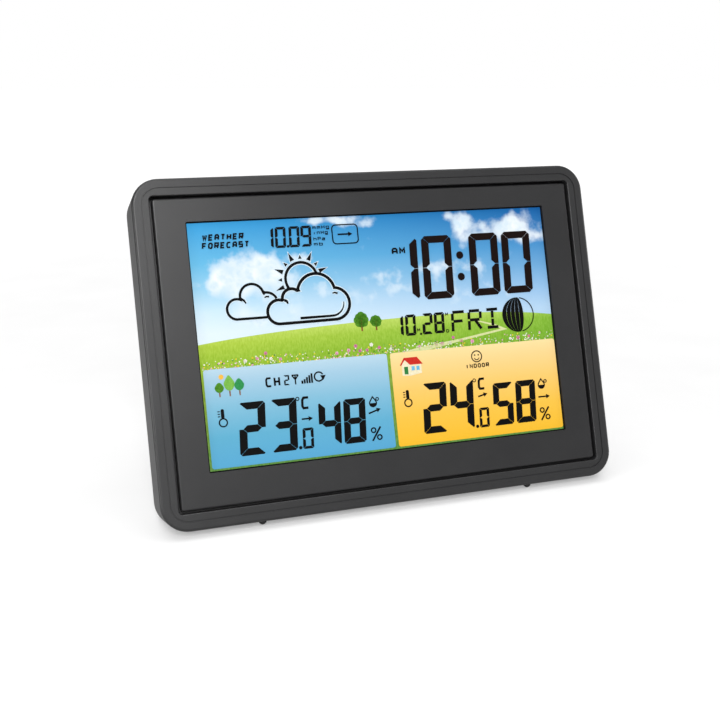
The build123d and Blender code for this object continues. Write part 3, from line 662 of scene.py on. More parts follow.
def rounded_box(left: float, bottom: float, right: float, top: float, radius: float) -> Outline:
    """Outline of a box with rounded corners, anticlockwise from its lower right.

    Args:
        left: its left side.
        bottom: its lower side.
        right: its right side.
        top: its upper side.
        radius: its corners' radius.

    Returns:
        The outline's points.
    """
    corners = (
        ((right - radius, bottom + radius), -90),
        ((right - radius, top - radius), 0),
        ((left + radius, top - radius), 90),
        ((left + radius, bottom + radius), 180),
    )
    return [p for centre, start in corners for p in arc(centre, radius, start, start + 90)]


def along(start: Point, stop: Point, share: float) -> Point:
    """The point that lies a share of the way from start to stop."""
    return (start[0] + (stop[0] - start[0]) * share, start[1] + (stop[1] - start[1]) * share)


class Layer(Enum):
    """How many film steps each part of the picture stands in front of the sky."""

    GROUND = 1
    SCENERY = 2
    HALO = 3
    SIGNS = 4


@dataclass(frozen=True)
class DisplaySizes:
    """The window, and the film steps in front of it, in millimetres."""

    half_width: float = 79.5
    half_height: float = 50.25
    film_half_width: float = 81.5
    film_half_height: float = 51.75
    step: float = 0.05
    drawn_centre: Point = (-0.47, 1.75)      # the picture's own origin against the window's middle
    drawn_scale: Point = (1.0067, 1.009)

    def spot(self, point: Point) -> Point:
        """A point of the picture, measured from the window's middle."""
        return tuple((p - c) * k for p, c, k in zip(point, self.drawn_centre, self.drawn_scale))

    def drawn(self, spot: Point) -> Point:
        """A point measured from the window's middle, in the picture's own measure."""
        return tuple(s / k + c for s, c, k in zip(spot, self.drawn_centre, self.drawn_scale))


SIZES = DisplaySizes()
Ink = DisplayInk | GradientPrint


@functools.cache
def ink_material(ink: Ink) -> bpy.types.Material:
    """Builds an ink's material once, and hands it out again after that."""
    return ink.build()


def hang_film(mesh: bpy.types.Mesh, axes: CaseAxes) -> bpy.types.Object:
    """Makes a display piece from its mesh, riding on the case.

    Args:
        mesh: the mesh, drawn upright with the window's middle as its origin.
        axes: the case's axes.

    Returns:
        The new object, with the mesh's name.
    """
    mesh.update()
    piece = bpy.data.objects.new(mesh.name, mesh)
    bpy.context.scene.collection.objects.link(piece)
    piece.matrix_world = axes.matrix()
    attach(piece, CASE_BODY)
    log.info("%s: %d faces", piece.name, len(mesh.polygons))
    return piece


LEAST_MITRE = 0.5               # a corner's line is lengthened to twice its half width at most
TURNS_BACK = 0.1                # runs whose sum is shorter than this turn back on each other


class Artwork:
    """Thin film shapes of one layer, joined into one mesh."""

    def __init__(self, name: str, layer: Layer, axes: CaseAxes) -> None:
        """Starts an empty layer.

        Args:
            name: the piece's name.
            layer: how far it stands in front of the sky.
            axes: the case's axes.
        """
        self.name = name
        self.axes = axes
        self.front = axes.display_depth - layer.value * SIZES.step
        self.points: list[tuple[float, float, float]] = []
        self.faces: list[tuple[int, ...]] = []
        self.inks: list[Ink] = []
        self.face_inks: list[int] = []

    def patch(self, points: Outline, faces: list[tuple[int, ...]], ink: Ink) -> None:
        """Adds a thin solid slab from flat faces.

        Args:
            points: its points in the picture, in mm.
            faces: its faces, anticlockwise as seen from the front.
            ink: the finish that it takes.
        """
        if ink not in self.inks:
            self.inks.append(ink)
        base, count = len(self.points), len(points)
        for depth in (self.front, self.front + SIZES.step):
            self.points += [(x, depth, z) for x, z in map(SIZES.spot, points)]
        ahead = {(f[i], f[(i + 1) % len(f)]) for f in faces for i in range(len(f))}
        rims = [(a, b) for a, b in ahead if (b, a) not in ahead]
        made = [tuple(base + i for i in f) for f in faces]
        made += [tuple(base + count + i for i in reversed(f)) for f in faces]
        made += [(base + b, base + a, base + count + a, base + count + b) for a, b in sorted(rims)]
        self.faces += made
        self.face_inks += [self.inks.index(ink)] * len(made)

    def fill(self, outline: Outline, ink: Ink) -> None:
        """Adds a filled shape.

        Args:
            outline: the shape's points, in either direction.
            ink: the finish that it takes.
        """
        area = sum(a[0] * b[1] - b[0] * a[1] for a, b in zip(outline, outline[1:] + outline[:1]))
        ordered = outline if area > 0 else outline[::-1]
        self.patch(ordered, [tuple(range(len(ordered)))], ink)

    def ring(self, centre: Point, radius: float, width: float, ink: Ink) -> None:
        """Adds a circle of even width."""
        self.stroke(disc(centre, radius), width, ink, True)

    def stroke(
        self, line: Outline, width: float, ink: Ink, closed: bool = False, end: float | None = None
    ) -> None:
        """Adds a line of even or tapering width, with mitred corners.

        Args:
            line: the points along its middle.
            width: its width, in mm.
            ink: the finish that it takes.
            closed: whether its end meets its start.
            end: its width at its far end, if that differs.
        """
        count = len(line)
        sides: tuple[Outline, Outline] = ([], [])
        for i, (x, z) in enumerate(line):
            before = line[i - 1] if i or closed else None
            after = line[(i + 1) % count] if i < count - 1 or closed else None
            ways = []
            for a, b in ((before, (x, z)), ((x, z), after)):
                if a is not None and b is not None:
                    way = Vector((b[0] - a[0], b[1] - a[1]))
                    ways.append(way.normalized())
            both = ways[0] + ways[-1]
            mean = both.normalized() if both.length > TURNS_BACK else ways[0]
            lengthen = 1.0 / max(LEAST_MITRE, mean.dot(ways[0]))
            half = (width + ((end or width) - width) * i / max(1, count - 1)) / 2 * lengthen
            sides[0].append((x - mean.y * half, z + mean.x * half))
            sides[1].append((x + mean.y * half, z - mean.x * half))
        spans = count if closed else count - 1
        faces = [(i, i + count, (i + 1) % count + count, (i + 1) % count) for i in range(spans)]
        self.patch(sides[0] + sides[1], faces, ink)

    def build(self) -> None:
        """Makes the layer's object, riding on the case."""
        mesh = bpy.data.meshes.new(self.name)
        mesh.from_pydata([tuple(c * MM for c in p) for p in self.points], [], self.faces)
        for ink in self.inks:
            mesh.materials.append(ink_material(ink))
        mesh.polygons.foreach_set("material_index", self.face_inks)
        hang_film(mesh, self.axes)


def signs_ink(name: str, colour: str, shade: str) -> DisplayInk:
    """A crystal colour, which blocks the light instead of passing it."""
    return DisplayInk(name, colour, shade, glow=0.0)


# Liquid crystal: it shuts the light out, so its signs read as near black.
BLACK = signs_ink("crystal_black", "#0b0b0c", "#141414")
CLOCK_BLACK = signs_ink("crystal_brown_black", "#1d100e", "#251512")
# Dot-printed film lit from behind: flat clear colours with a little unevenness.
HALO = DisplayInk("print_pale_halo", "#cfe6f4", "#e4f2fa")
PATH = DisplayInk("print_path_cream", "#dfe4ae", "#d0d892")
LEAF = DisplayInk("print_leaf_green", "#3f7a1e", "#5c9a2c", mottle_mm=0.8)
LEAF_LIGHT = DisplayInk("print_leaf_light", "#6fb043", "#86c156")
LEAF_DEEP = DisplayInk("print_leaf_deep", "#2c8a4b", "#3a9a57")
TRUNK = DisplayInk("print_trunk_brown", "#7a4a26", "#936036")
SUN_YELLOW = DisplayInk("print_sun_yellow", "#f7b53a", "#f9c65a")
PINK = DisplayInk("print_petal_pink", "#e48db3", "#efb6cc")
MAGENTA = DisplayInk("print_petal_magenta", "#cb6596", "#da8aae")
WHITE = DisplayInk("print_petal_white", "#fbfaf2", "#eeecd8")
YELLOW = DisplayInk("print_petal_yellow", "#f5dc4a", "#f0cc2c")
ROOF_RED = DisplayInk("print_roof_red", "#d8362b", "#c22a22")
WALL_CREAM = DisplayInk("print_wall_cream", "#f7efd2", "#eee2b8")
DOOR_GREEN = DisplayInk("print_door_green", "#3c8a4a", "#2f7a3e")
PANE_BLUE = DisplayInk("print_pane_blue", "#5fb2de", "#7cc4e8")
# The same film where the print's colour runs from one to another.
SKY = SkyPrint(
    "print_sky_blue",
    5.0,
    50.0,
    ((0.0, "#e4f3fb"), (0.2, "#cfeaf8"), (0.42, "#96d0ee"), (0.62, "#6bbde6"), (1.0, "#38a1de")),
    ((0.0, "#b4d4f0"), (0.2, "#94c0e8"), (0.42, "#6ea8d8"), (0.62, "#4b92cc"), (1.0, "#0f5ca3")),
)
MEADOW = MeadowPrint(
    "print_meadow_green",
    -51.0,
    6.0,
    ((0.0, "#4f8a3c"), (0.55, "#7f9f2a"), (0.78, "#98c12c"), (0.9, "#b2d040"), (1.0, "#d2e668")),
    ((0.0, "#4f8a3c"), (0.55, "#6f9826"), (0.78, "#74b028"), (0.9, "#82ba34"), (1.0, "#b6d862")),
)
BLUE_PANEL = GradientPrint(
    "print_panel_blue",
    -48.5,
    -9.0,
    ((0.0, "#5aa9d2"), (0.3, "#62afcf"), (0.6, "#84bed8"), (0.85, "#a5cbe1"), (1.0, "#bcd8e8")),
    ((0.0, "#5ba8d4"), (0.3, "#66b0d4"), (0.6, "#86bedb"), (0.85, "#a8cee4"), (1.0, "#bedaea")),
)
AMBER_PANEL = GradientPrint(
    "print_panel_amber",
    -48.5,
    -9.0,
    ((0.0, "#f6bf2f"), (0.3, "#fac448"), (0.6, "#fccd6d"), (0.85, "#fcd88e"), (1.0, "#f9e2a2")),
    ((0.0, "#f8c034"), (0.3, "#fbc64c"), (0.6, "#fcce72"), (0.85, "#fcd892"), (1.0, "#fae2a4")),
)


# ---------------------------------------------------------------- lettering and digits


LETTERS = {
    "A": [[(0, 0), (0, 0.75), (0.25, 1), (0.75, 1), (1, 0.75), (1, 0)], [(0, 0.42), (1, 0.42)]],
    "C": [[(1, 1), (0.2, 1), (0, 0.8), (0, 0.2), (0.2, 0), (1, 0)]],
    "D": [[(0, 0), (0, 1), (0.75, 1), (1, 0.75), (1, 0.25), (0.75, 0), (0, 0)]],
    "E": [[(1, 1), (0, 1), (0, 0), (1, 0)], [(0, 0.5), (0.85, 0.5)]],
    "F": [[(1, 1), (0, 1), (0, 0)], [(0, 0.48), (0.85, 0.48)]],
    "H": [[(0, 0), (0, 1)], [(1, 0), (1, 1)], [(0, 0.5), (1, 0.5)]],
    "I": [[(0.5, 0), (0.5, 1)]],
    "M": [[(0, 0), (0, 1), (0.5, 0.4), (1, 1), (1, 0)]],
    "N": [[(0, 0), (0, 1), (1, 0), (1, 1)]],
    "O": [[(0.2, 0), (0, 0.2), (0, 0.8), (0.2, 1), (0.8, 1), (1, 0.8), (1, 0.2), (0.8, 0), (0.2, 0)]],
    "P": [[(0, 0), (0, 1), (1, 1), (1, 0.45), (0, 0.45)]],
    "R": [[(0, 0), (0, 1), (1, 1), (1, 0.45), (0, 0.45)], [(0.45, 0.45), (1, 0)]],
    "S": [[(1, 1), (0, 1), (0, 0.5), (1, 0.5), (1, 0), (0, 0)]],
    "T": [[(0, 1), (1, 1)], [(0.5, 1), (0.5, 0)]],
    "W": [[(0, 1), (0.22, 0), (0.5, 0.75), (0.78, 0), (1, 1)]],
    "a": [[(0.1, 0.7), (1, 0.7), (1, 0), (0, 0), (0, 0.38), (1, 0.38)]],
    "b": [[(0, 1), (0, 0), (1, 0), (1, 0.65), (0, 0.65)]],
    "g": [[(0, -0.3), (1, -0.3), (1, 0.7), (0, 0.7), (0, 0), (1, 0)]],
    "h": [[(0, 1), (0, 0)], [(0, 0.65), (1, 0.65), (1, 0)]],
    "i": [[(0.5, 0), (0.5, 0.65)]],
    "m": [[(0, 0), (0, 0.7), (1, 0.7), (1, 0)], [(0.5, 0.7), (0.5, 0)]],
    "n": [[(0, 0), (0, 0.7), (1, 0.7), (1, 0)]],
}

SEGMENTS = {
    "0": "abcdef", "1": "bc", "2": "abged", "3": "abgcd", "4": "fgbc",
    "5": "afgcd", "8": "abcdefg", "9": "abcdfg",
}


@dataclass(frozen=True)
class Lettering:
    """A line of plain letters, drawn with square strokes, in millimetres."""

    text: str
    left: float
    right: float
    base: float
    cap: float
    stroke: float
    slant: float = 0.0              # degrees
    gap: float = 0.3                # space between letters, as a share of a letter

    def draw(self, art: Artwork, ink: Ink) -> None:
        """Cuts the letters into a layer.

        Args:
            art: the layer.
            ink: the finish that it takes.
        """
        count = len(self.text)
        wide = (self.right - self.left) / (count + (count - 1) * self.gap)
        lean = math.tan(math.radians(self.slant))
        inner = wide - self.stroke
        tall = self.cap - self.stroke
        for i, letter in enumerate(self.text):
            start = self.left + i * wide * (1 + self.gap) + self.stroke / 2
            for line in LETTERS[letter]:
                ends = [(x * inner, z * tall + self.stroke / 2) for x, z in line]
                points = [(start + x + lean * z, self.base + z) for x, z in ends]
                art.stroke(points, self.stroke, ink)


@dataclass(frozen=True)
class SegmentDigit:
    """A digit of seven bars with mitred ends, in millimetres."""

    width: float
    height: float
    bar: float                      # thickness of the upright bars
    slant: float                    # degrees
    slit: float = 0.16              # light line between two bars
    chamfer: float = 0.0            # cut of the outer corners
    level: float = 0.9              # thickness of the level bars, as a share of the upright ones

    def bars(self) -> dict[str, Outline]:
        """Each bar's outline, in a box from (0, 0) to (width, height).

        Returns:
            The outlines by the bar's letter, from the top one clockwise, the middle one last.
        """
        w, h, v, s, c = self.width, self.height, self.bar, self.slit, self.chamfer
        t = v * self.level
        mid = h / 2
        top = [
            (c + s, h),
            (w - c - s, h),
            (w - c / 2 - s, h - c / 2),
            (w - v - s / 2, h - t),
            (v + s / 2, h - t),
            (c / 2 + s, h - c / 2),
        ]
        upper_left = [
            (0, mid + s),
            (v / 2, mid + s),
            (v, mid + t / 2 + s),
            (v, h - t - s),
            (c / 2, h - c / 2 - s),
            (0, h - c - s),
        ]
        middle = [
            (v / 2 + s, mid),
            (v + s, mid - t / 2),
            (w - v - s, mid - t / 2),
            (w - v / 2 - s, mid),
            (w - v - s, mid + t / 2),
            (v + s, mid + t / 2),
        ]

        def flip(points: Outline, across: bool, over: bool) -> Outline:
            """Mirrors an outline left to right, top to bottom or both."""
            return [(w - x if across else x, h - z if over else z) for x, z in points]

        return {
            "a": top,
            "b": flip(upper_left, True, False),
            "c": flip(upper_left, True, True),
            "d": flip(top, False, True),
            "e": flip(upper_left, False, True),
            "f": upper_left,
            "g": middle,
        }

    def draw(self, art: Artwork, ink: Ink, symbol: str, centre: float, base: float) -> None:
        """Cuts one digit into a layer.

        Args:
            art: the layer.
            ink: the finish that it takes.
            symbol: the digit.
            centre: where its middle is across, at half its height.
            base: where its foot is.
        """
        lean = math.tan(math.radians(self.slant))
        outlines = self.bars()
        for letter in SEGMENTS[symbol]:
            placed = [
                (centre + x - self.width / 2 + lean * (z - self.height / 2), base + z)
                for x, z in outlines[letter]
            ]
            art.fill(placed, ink)


@dataclass(frozen=True)
class Arrow:
    """A thin arrow with a filled head, in millimetres."""

    start: Point
    tip: Point
    width: float = 0.65
    head: float = 1.8               # the head's length
    flare: float = 0.55             # half the head's width, as a share of its length

    def draw(self, art: Artwork, ink: Ink) -> None:
        """Cuts the arrow into a layer.

        Args:
            art: the layer.
            ink: the finish that it takes.
        """
        way = Vector((self.tip[0] - self.start[0], self.tip[1] - self.start[1])).normalized()
        neck = Vector(self.tip) - way * self.head
        side = Vector((-way.y, way.x)) * self.head * self.flare
        art.stroke([self.start, tuple(neck)], self.width, ink)
        art.fill([self.tip, tuple(neck + side), tuple(neck - side)], ink)


# ---------------------------------------------------------------- the picture


@dataclass(frozen=True)
class SkySheet:
    """The display's film, with the printed sky and its clouds."""

    pitch: float = 1.0              # spacing of the sheet's mesh, in mm
    clouds: tuple[tuple[float, float, float, float, float], ...] = (
        # middle across, middle up, half width, half height, how dense
        (-66.0, 27.0, 9.0, 5.0, 0.85),
        (-58.0, 31.0, 9.0, 6.5, 1.0),
        (-50.0, 32.0, 7.0, 5.5, 0.9),
        (-44.0, 26.0, 12.0, 6.0, 0.8),
        (-60.0, 22.0, 16.0, 5.0, 0.75),
        (-33.0, 33.0, 7.0, 4.0, 0.5),
        (-18.0, 48.5, 16.0, 2.6, 0.75),
        (-4.0, 46.0, 8.0, 2.2, 0.55),
        (-10.0, 38.0, 12.0, 3.0, 0.35),
        (42.0, 43.5, 8.0, 4.8, 0.85),
        (34.0, 47.5, 7.0, 2.4, 0.5),
        (58.5, 42.0, 8.5, 5.2, 0.8),
        (69.0, 44.0, 9.0, 5.2, 0.9),
        (74.0, 37.0, 7.0, 3.0, 0.5),
        (43.0, 37.5, 9.0, 5.0, 0.5),
        (66.0, 37.0, 11.0, 6.0, 0.5),
        (40.0, 26.0, 20.0, 6.0, 0.4),
        (27.0, 27.0, 7.0, 4.0, 0.5),
        (8.0, 24.0, 16.0, 5.0, 0.4),
        (-10.0, 17.0, 26.0, 7.0, 0.45),
        (50.0, 14.0, 34.0, 5.0, 0.35),
        (-60.0, 10.0, 30.0, 5.0, 0.5),
    )

    def density(self, x: float, z: float) -> float:
        """How much cloud there is at a point of the picture, from 0 to 1.

        Args:
            x: the place across the picture.
            z: the place up the picture.

        Returns:
            The density.
        """
        clear = 1.0
        for across, up, wide, tall, dense in self.clouds:
            reach = ((x - across) / wide) ** 2 + ((z - up) / tall) ** 2
            clear *= 1.0 - dense * math.exp(-reach)
        return 1.0 - clear

    def build(self, axes: CaseAxes) -> None:
        """Makes the film as a fine grid with the cloud mask on its points, in the CAD film's place.

        Args:
            axes: the case's axes.
        """
        columns = round(2 * SIZES.film_half_width / self.pitch)
        rows = round(2 * SIZES.film_half_height / self.pitch)
        near, far = axes.display_depth, axes.display_depth + axes.film_thickness
        flat = [
            (SIZES.film_half_width * (2 * i / columns - 1), SIZES.film_half_height * (2 * j / rows - 1))
            for j in range(rows + 1)
            for i in range(columns + 1)
        ]
        line = columns + 1
        quads = [
            (j * line + i, j * line + i + 1, (j + 1) * line + i + 1, (j + 1) * line + i)
            for j in range(rows)
            for i in range(columns)
        ]
        count = len(flat)
        rim = (
            list(range(columns))
            + [j * line + columns for j in range(rows)]
            + [rows * line + i for i in range(columns, 0, -1)]
            + [j * line for j in range(rows, 0, -1)]
        )
        back = {index: count + k for k, index in enumerate(rim)}
        points = [(x, near, z) for x, z in flat] + [(flat[i][0], far, flat[i][1]) for i in rim]
        sides = [(rim[k - 1], back[rim[k - 1]], back[rim[k]], rim[k]) for k in range(len(rim))]
        faces = quads + sides + [tuple(back[i] for i in reversed(rim))]
        mesh = bpy.data.meshes.new("display_sky")
        mesh.from_pydata([tuple(c * MM for c in p) for p in points], [], faces)
        mask = mesh.attributes.new(CLOUD_MASK, "FLOAT", "POINT")
        mask.data.foreach_set("value", [self.density(x, z) for x, _, z in points])
        mesh.materials.append(ink_material(SKY))
        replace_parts(hang_film(mesh, axes), "lcd_front_polariser")


@dataclass(frozen=True)
class Meadow:
    """Grass from the horizon down, with a path, two trees and a bank of flowers, in millimetres."""

    horizon: tuple[Point, ...] = ((-79.0, 2.5), (-40.0, 5.6), (0.0, 6.9), (30.0, 7.0), (79.0, 3.2))
    foot: float = -48.3
    steps: int = 160
    path: tuple[Point, ...] = (
        (6.0, -7.6), (18.0, -7.6), (36.0, -4.6), (56.0, -1.6), (50.0, 1.1), (42.0, 3.4),
        (41.0, 3.2), (47.6, 1.0), (52.8, -1.2), (34.0, -3.9), (14.0, -6.1),
    )
    trees: tuple[tuple[Point, float, float], ...] = (
        # middle of the crown, half width, half height
        ((-10.3, 7.4), 3.2, 3.4),
        ((-3.95, 6.5), 2.5, 2.6),
    )
    trunk: float = 1.3              # how far a trunk stands out under its crown
    trunk_width: float = 0.7
    lumps: int = 8                  # lumps of leaves round one in the middle
    lump_reach: float = 0.55        # share of the crown's half size
    lump_radius: Point = (0.42, 0.56)           # share of the crown's half width
    flowers: tuple[Point, ...] = (
        (-60.7, -5.3), (-55.8, -4.7), (-52.1, -2.9), (-50.1, -5.3), (-46.2, -5.8), (-22.3, -5.5),
        (-17.1, -4.7), (-13.9, -3.2), (-12.2, -5.3), (-9.1, -5.3), (-7.0, -3.2), (-3.7, -4.7),
        (1.5, -5.8), (14.3, -5.8), (22.1, -5.8), (24.9, -5.5), (28.5, -5.3), (30.1, -3.2),
        (33.7, -4.7), (38.8, -5.5), (56.9, -5.8), (60.7, -5.8), (65.9, -5.5),
    )
    petals: int = 5
    petal_reach: float = 0.55       # a flower's measures are for a size of 1
    petal_radius: float = 0.5
    stem: float = 2.4
    stem_width: float = 0.25
    flower_size: Point = (0.62, 0.85)
    specks: int = 560
    speck_half_width: float = 78.0
    speck_foot: float = -7.4
    speck_rise: float = 3.6
    speck_gather: float = 1.6       # above 1, the specks lie thicker towards the foot
    speck_radius: Point = (0.14, 0.34)
    seed: int = 7

    def crest(self, x: float) -> float:
        """Finds the height of the horizon, on the curve through its given points.

        Args:
            x: the place across the picture.

        Returns:
            The height.
        """
        total = 0.0
        for i, (xi, zi) in enumerate(self.horizon):
            share = zi
            for k, (xk, zk) in enumerate(self.horizon):
                if k != i:
                    share *= (x - xk) / (xi - xk)
            total += share
        return total

    def build(self, axes: CaseAxes) -> None:
        """Makes the grass, and then what stands on it.

        Args:
            axes: the case's axes.
        """
        grass = Artwork("display_meadow", Layer.GROUND, axes)
        half = SIZES.film_half_width / SIZES.drawn_scale[0] - abs(SIZES.drawn_centre[0])
        across = [half * (2 * i / self.steps - 1) for i in range(self.steps + 1)]
        low = [(x, self.foot) for x in across]
        high = [(x, self.crest(x)) for x in across]
        above = self.steps + 1
        faces = [(i, i + 1, above + i + 1, above + i) for i in range(self.steps)]
        grass.patch(low + high, faces, MEADOW)
        grass.build()
        self.build_scenery(axes)

    def build_scenery(self, axes: CaseAxes) -> None:
        """Makes the path, the trees and the flowers.

        Args:
            axes: the case's axes.
        """
        art = Artwork("display_scenery", Layer.SCENERY, axes)
        art.fill(list(self.path), PATH)
        draw = random.Random(self.seed)
        for (x, z), wide, tall in self.trees:
            art.stroke([(x, z - tall - self.trunk), (x, z)], self.trunk_width, TRUNK)
            for i in range(self.lumps + 1):
                angle = math.tau * i / self.lumps
                reach = self.lump_reach if i < self.lumps else 0.0
                lump = (x + reach * wide * math.cos(angle), z + reach * tall * math.sin(angle))
                art.fill(disc(lump, wide * draw.uniform(*self.lump_radius)), LEAF)
        for spot in self.flowers:
            self.draw_flower(art, spot, draw)
        for _ in range(self.specks):
            x = draw.uniform(-self.speck_half_width, self.speck_half_width)
            z = self.speck_foot + self.speck_rise * draw.random() ** self.speck_gather
            ink = draw.choice((WHITE, WHITE, YELLOW, PINK, LEAF_LIGHT, LEAF))
            art.fill(disc((x, z), draw.uniform(*self.speck_radius)), ink)
        art.build()

    def draw_flower(self, art: Artwork, centre: Point, draw: random.Random) -> None:
        """Draws a blossom of round petals on a thin stem.

        Args:
            art: the layer.
            centre: the blossom's middle.
            draw: the source of its small differences.
        """
        ink = draw.choice((PINK, MAGENTA, WHITE))
        size = draw.uniform(*self.flower_size)
        turn = draw.uniform(0, 360 / self.petals)
        x, z = centre
        art.stroke([(x, z - self.stem * size), centre], self.stem_width, LEAF)
        reach = self.petal_reach * size
        for i in range(self.petals):
            angle = math.radians(turn + 360 * i / self.petals)
            petal = (x + reach * math.cos(angle), z + reach * math.sin(angle))
            art.fill(disc(petal, self.petal_radius * size), ink)


@dataclass(frozen=True)
class ReadingPanels:
    """The two tinted fields under the picture, for outdoors and indoors."""

    outer: float = 78.0
    inner: float = 0.7
    top: float = -7.5
    bottom: float = -46.8
    corner: float = 1.0

    def build(self, axes: CaseAxes) -> None:
        """Makes both fields, in front of the meadow.

        Args:
            axes: the case's axes.
        """
        art = Artwork("display_panels", Layer.SCENERY, axes)
        art.fill(rounded_box(-self.outer, self.bottom, -self.inner, self.top, self.corner), BLUE_PANEL)
        art.fill(rounded_box(self.inner, self.bottom, self.outer, self.top, self.corner), AMBER_PANEL)
        art.build()


@dataclass(frozen=True)
class WindowMaskAndShade:
    """Black line round the edge of the view, where the panel's window ends: a printed mask, and also painted shade
    for the shadow at the window's recessed edge.
    """

    width: float = 0.5

    def build(self, axes: CaseAxes) -> None:
        """Makes the black line, printed mask and painted shade, just inside the window.

        Args:
            axes: the case's axes.
        """
        art = Artwork("display_mask_painted_shade", Layer.SIGNS, axes)
        across = SIZES.half_width - self.width / 2
        up = SIZES.half_height - self.width / 2
        corners = [(-across, -up), (across, -up), (across, up), (-across, up)]
        # painted shade: an even black line for the shadow at the window's recessed edge, over a printed mask
        art.stroke([SIZES.drawn(c) for c in corners], self.width, BLACK, True)
        art.build()


@dataclass(frozen=True)
class Cloud:
    """A cloud sign: round lobes in a row, in millimetres."""

    lobes: tuple[tuple[Point, float], ...]      # each one's middle and radius, from the left
    stroke: float

    def outline(self) -> Outline:
        """Follows the lobes clockwise, from the foot of the left one to the foot of the right one.

        Returns:
            The outline's points.
        """
        joins = [self.crossing(a, b) for a, b in zip(self.lobes, self.lobes[1:])]
        line: Outline = []
        for i, (centre, radius) in enumerate(self.lobes):
            start = joins[i - 1] if i else (centre[0], centre[1] - radius)
            stop = joins[i] if i < len(joins) else (centre[0], centre[1] - radius)
            first = math.degrees(math.atan2(start[1] - centre[1], start[0] - centre[0]))
            last = math.degrees(math.atan2(stop[1] - centre[1], stop[0] - centre[0]))
            while last > first:
                last -= 360
            line += arc(centre, radius, first, last)
        return line

    def outside(self, point: Point) -> bool:
        """Whether a point is clear of every lobe."""
        return all(math.dist(point, centre) > radius for centre, radius in self.lobes)

    def crossing(self, one: tuple[Point, float], two: tuple[Point, float]) -> Point:
        """Finds the upper point where two lobes cross.

        Args:
            one: the left lobe's middle and radius.
            two: the right lobe's middle and radius.

        Returns:
            The point.
        """
        (ax, az), ar = one
        (bx, bz), br = two
        apart = math.dist((ax, az), (bx, bz))
        run = (ar ** 2 - br ** 2 + apart ** 2) / (2 * apart)
        rise = math.sqrt(max(0.0, ar ** 2 - run ** 2))
        mid = along((ax, az), (bx, bz), run / apart)
        way = ((bx - ax) / apart, (bz - az) / apart)
        return (mid[0] - way[1] * rise, mid[1] + way[0] * rise)


@dataclass(frozen=True)
class ForecastSign:
    """The forecast: a rayed sun behind a large cloud, with a small cloud beside it."""

    sun: Point = (-34.1, 26.2)
    sun_radius: float = 6.75
    sun_shows: Point = (213.0, 17.0)            # degrees between which the clouds leave it clear
    sun_stroke: float = 1.15
    ray_base: float = 8.2
    ray_angles: tuple[float, ...] = (19.6, 41.0, 64.0, 89.0, 113.0, 135.0, 157.5, 180.0, 201.0)
    long_ray: Point = (11.9, 0.95)              # a ray's tip from the sun's middle, and its half width
    short_ray: Point = (9.9, 0.75)
    halo: float = 0.7               # how much wider the pale line under a dark one is
    big: Cloud = Cloud(
        (((-44.7, 13.3), 4.9), ((-39.0, 18.4), 4.0), ((-28.4, 20.0), 8.0), ((-21.2, 15.1), 6.6)), 1.25
    )
    small: Cloud = Cloud((((-61.9, 15.6), 4.1), ((-55.4, 20.5), 4.9), ((-49.6, 16.9), 4.7)), 1.05)
    small_base: tuple[Point, Point] = ((-61.9, 11.55), (-49.4, 11.55))
    fold: tuple[Point, ...] = ((-36.2, 10.1), (-30.0, 10.1), (-23.4, 10.1))     # inside the big cloud
    fold_round: tuple[Point, float, float, float] = ((-22.4, 15.4), 5.3, -80.0, 2.0)
    fold_widths: Point = (1.1, 0.35)
    creases: tuple[tuple[tuple[Point, Point, Point], float, float], ...] = (
        # points, width at the start, width at the end
        (((-42.1, 17.9), (-41.2, 17.4), (-40.8, 16.4)), 1.25, 0.7),
        (((-21.6, 19.4), (-20.6, 19.6), (-19.4, 19.2)), 0.5, 0.9),
        (((-59.9, 19.7), (-58.8, 18.9), (-58.1, 17.7)), 1.05, 0.6),
        (((-50.3, 19.5), (-49.6, 19.9), (-48.4, 19.8)), 0.5, 0.77),
    )

    def lines(self) -> list[tuple[Outline, float, bool, float | None]]:
        """Gathers every line of the sign.

        Returns:
            For each line, its points, its width, whether it is closed, and its width at the end.
        """
        sun = arc(self.sun, self.sun_radius, *self.sun_shows)
        small = list(itertools.takewhile(self.big.outside, self.small.outline()))
        fold = [*self.fold, *arc(*self.fold_round)]
        return [
            (sun, self.sun_stroke, False, None),
            (self.big.outline(), self.big.stroke, True, None),
            (small, self.small.stroke, False, None),
            (list(self.small_base), self.small.stroke, False, None),
            (fold, self.fold_widths[0], False, self.fold_widths[1]),
            *[(list(points), start, False, end) for points, start, end in self.creases],
        ]

    def build(self, axes: CaseAxes) -> None:
        """Makes the dark lines, and the pale ones that show round them.

        Args:
            axes: the case's axes.
        """
        signs = Artwork("sign_forecast", Layer.SIGNS, axes)
        halo = Artwork("sign_forecast_halo", Layer.HALO, axes)
        for points, width, closed, end in self.lines():
            signs.stroke(points, width, BLACK, closed, end)
            halo.stroke(points, width + self.halo, HALO, closed)
        for i, angle in enumerate(self.ray_angles):
            tip, half = self.short_ray if i % 2 else self.long_ray
            for art, grow, ink in ((signs, 0.0, BLACK), (halo, self.halo / 2, HALO)):
                art.fill(self.ray(angle, self.ray_base - grow, tip + 2 * grow, half + grow), ink)
        halo.build()
        signs.build()

    def ray(self, angle: float, near: float, far: float, half: float) -> Outline:
        """Works out the triangle of one ray, pointing outwards.

        Args:
            angle: its direction, in degrees anticlockwise from the right.
            near: how far its foot is from the sun's middle.
            far: how far its tip is.
            half: half its foot's width.

        Returns:
            The triangle's corners.
        """
        out = Vector((math.cos(math.radians(angle)), math.sin(math.radians(angle))))
        side = Vector((-out.y, out.x)) * half
        middle = Vector(self.sun)
        foot = middle + out * near
        return [tuple(middle + out * far), tuple(foot + side), tuple(foot - side)]


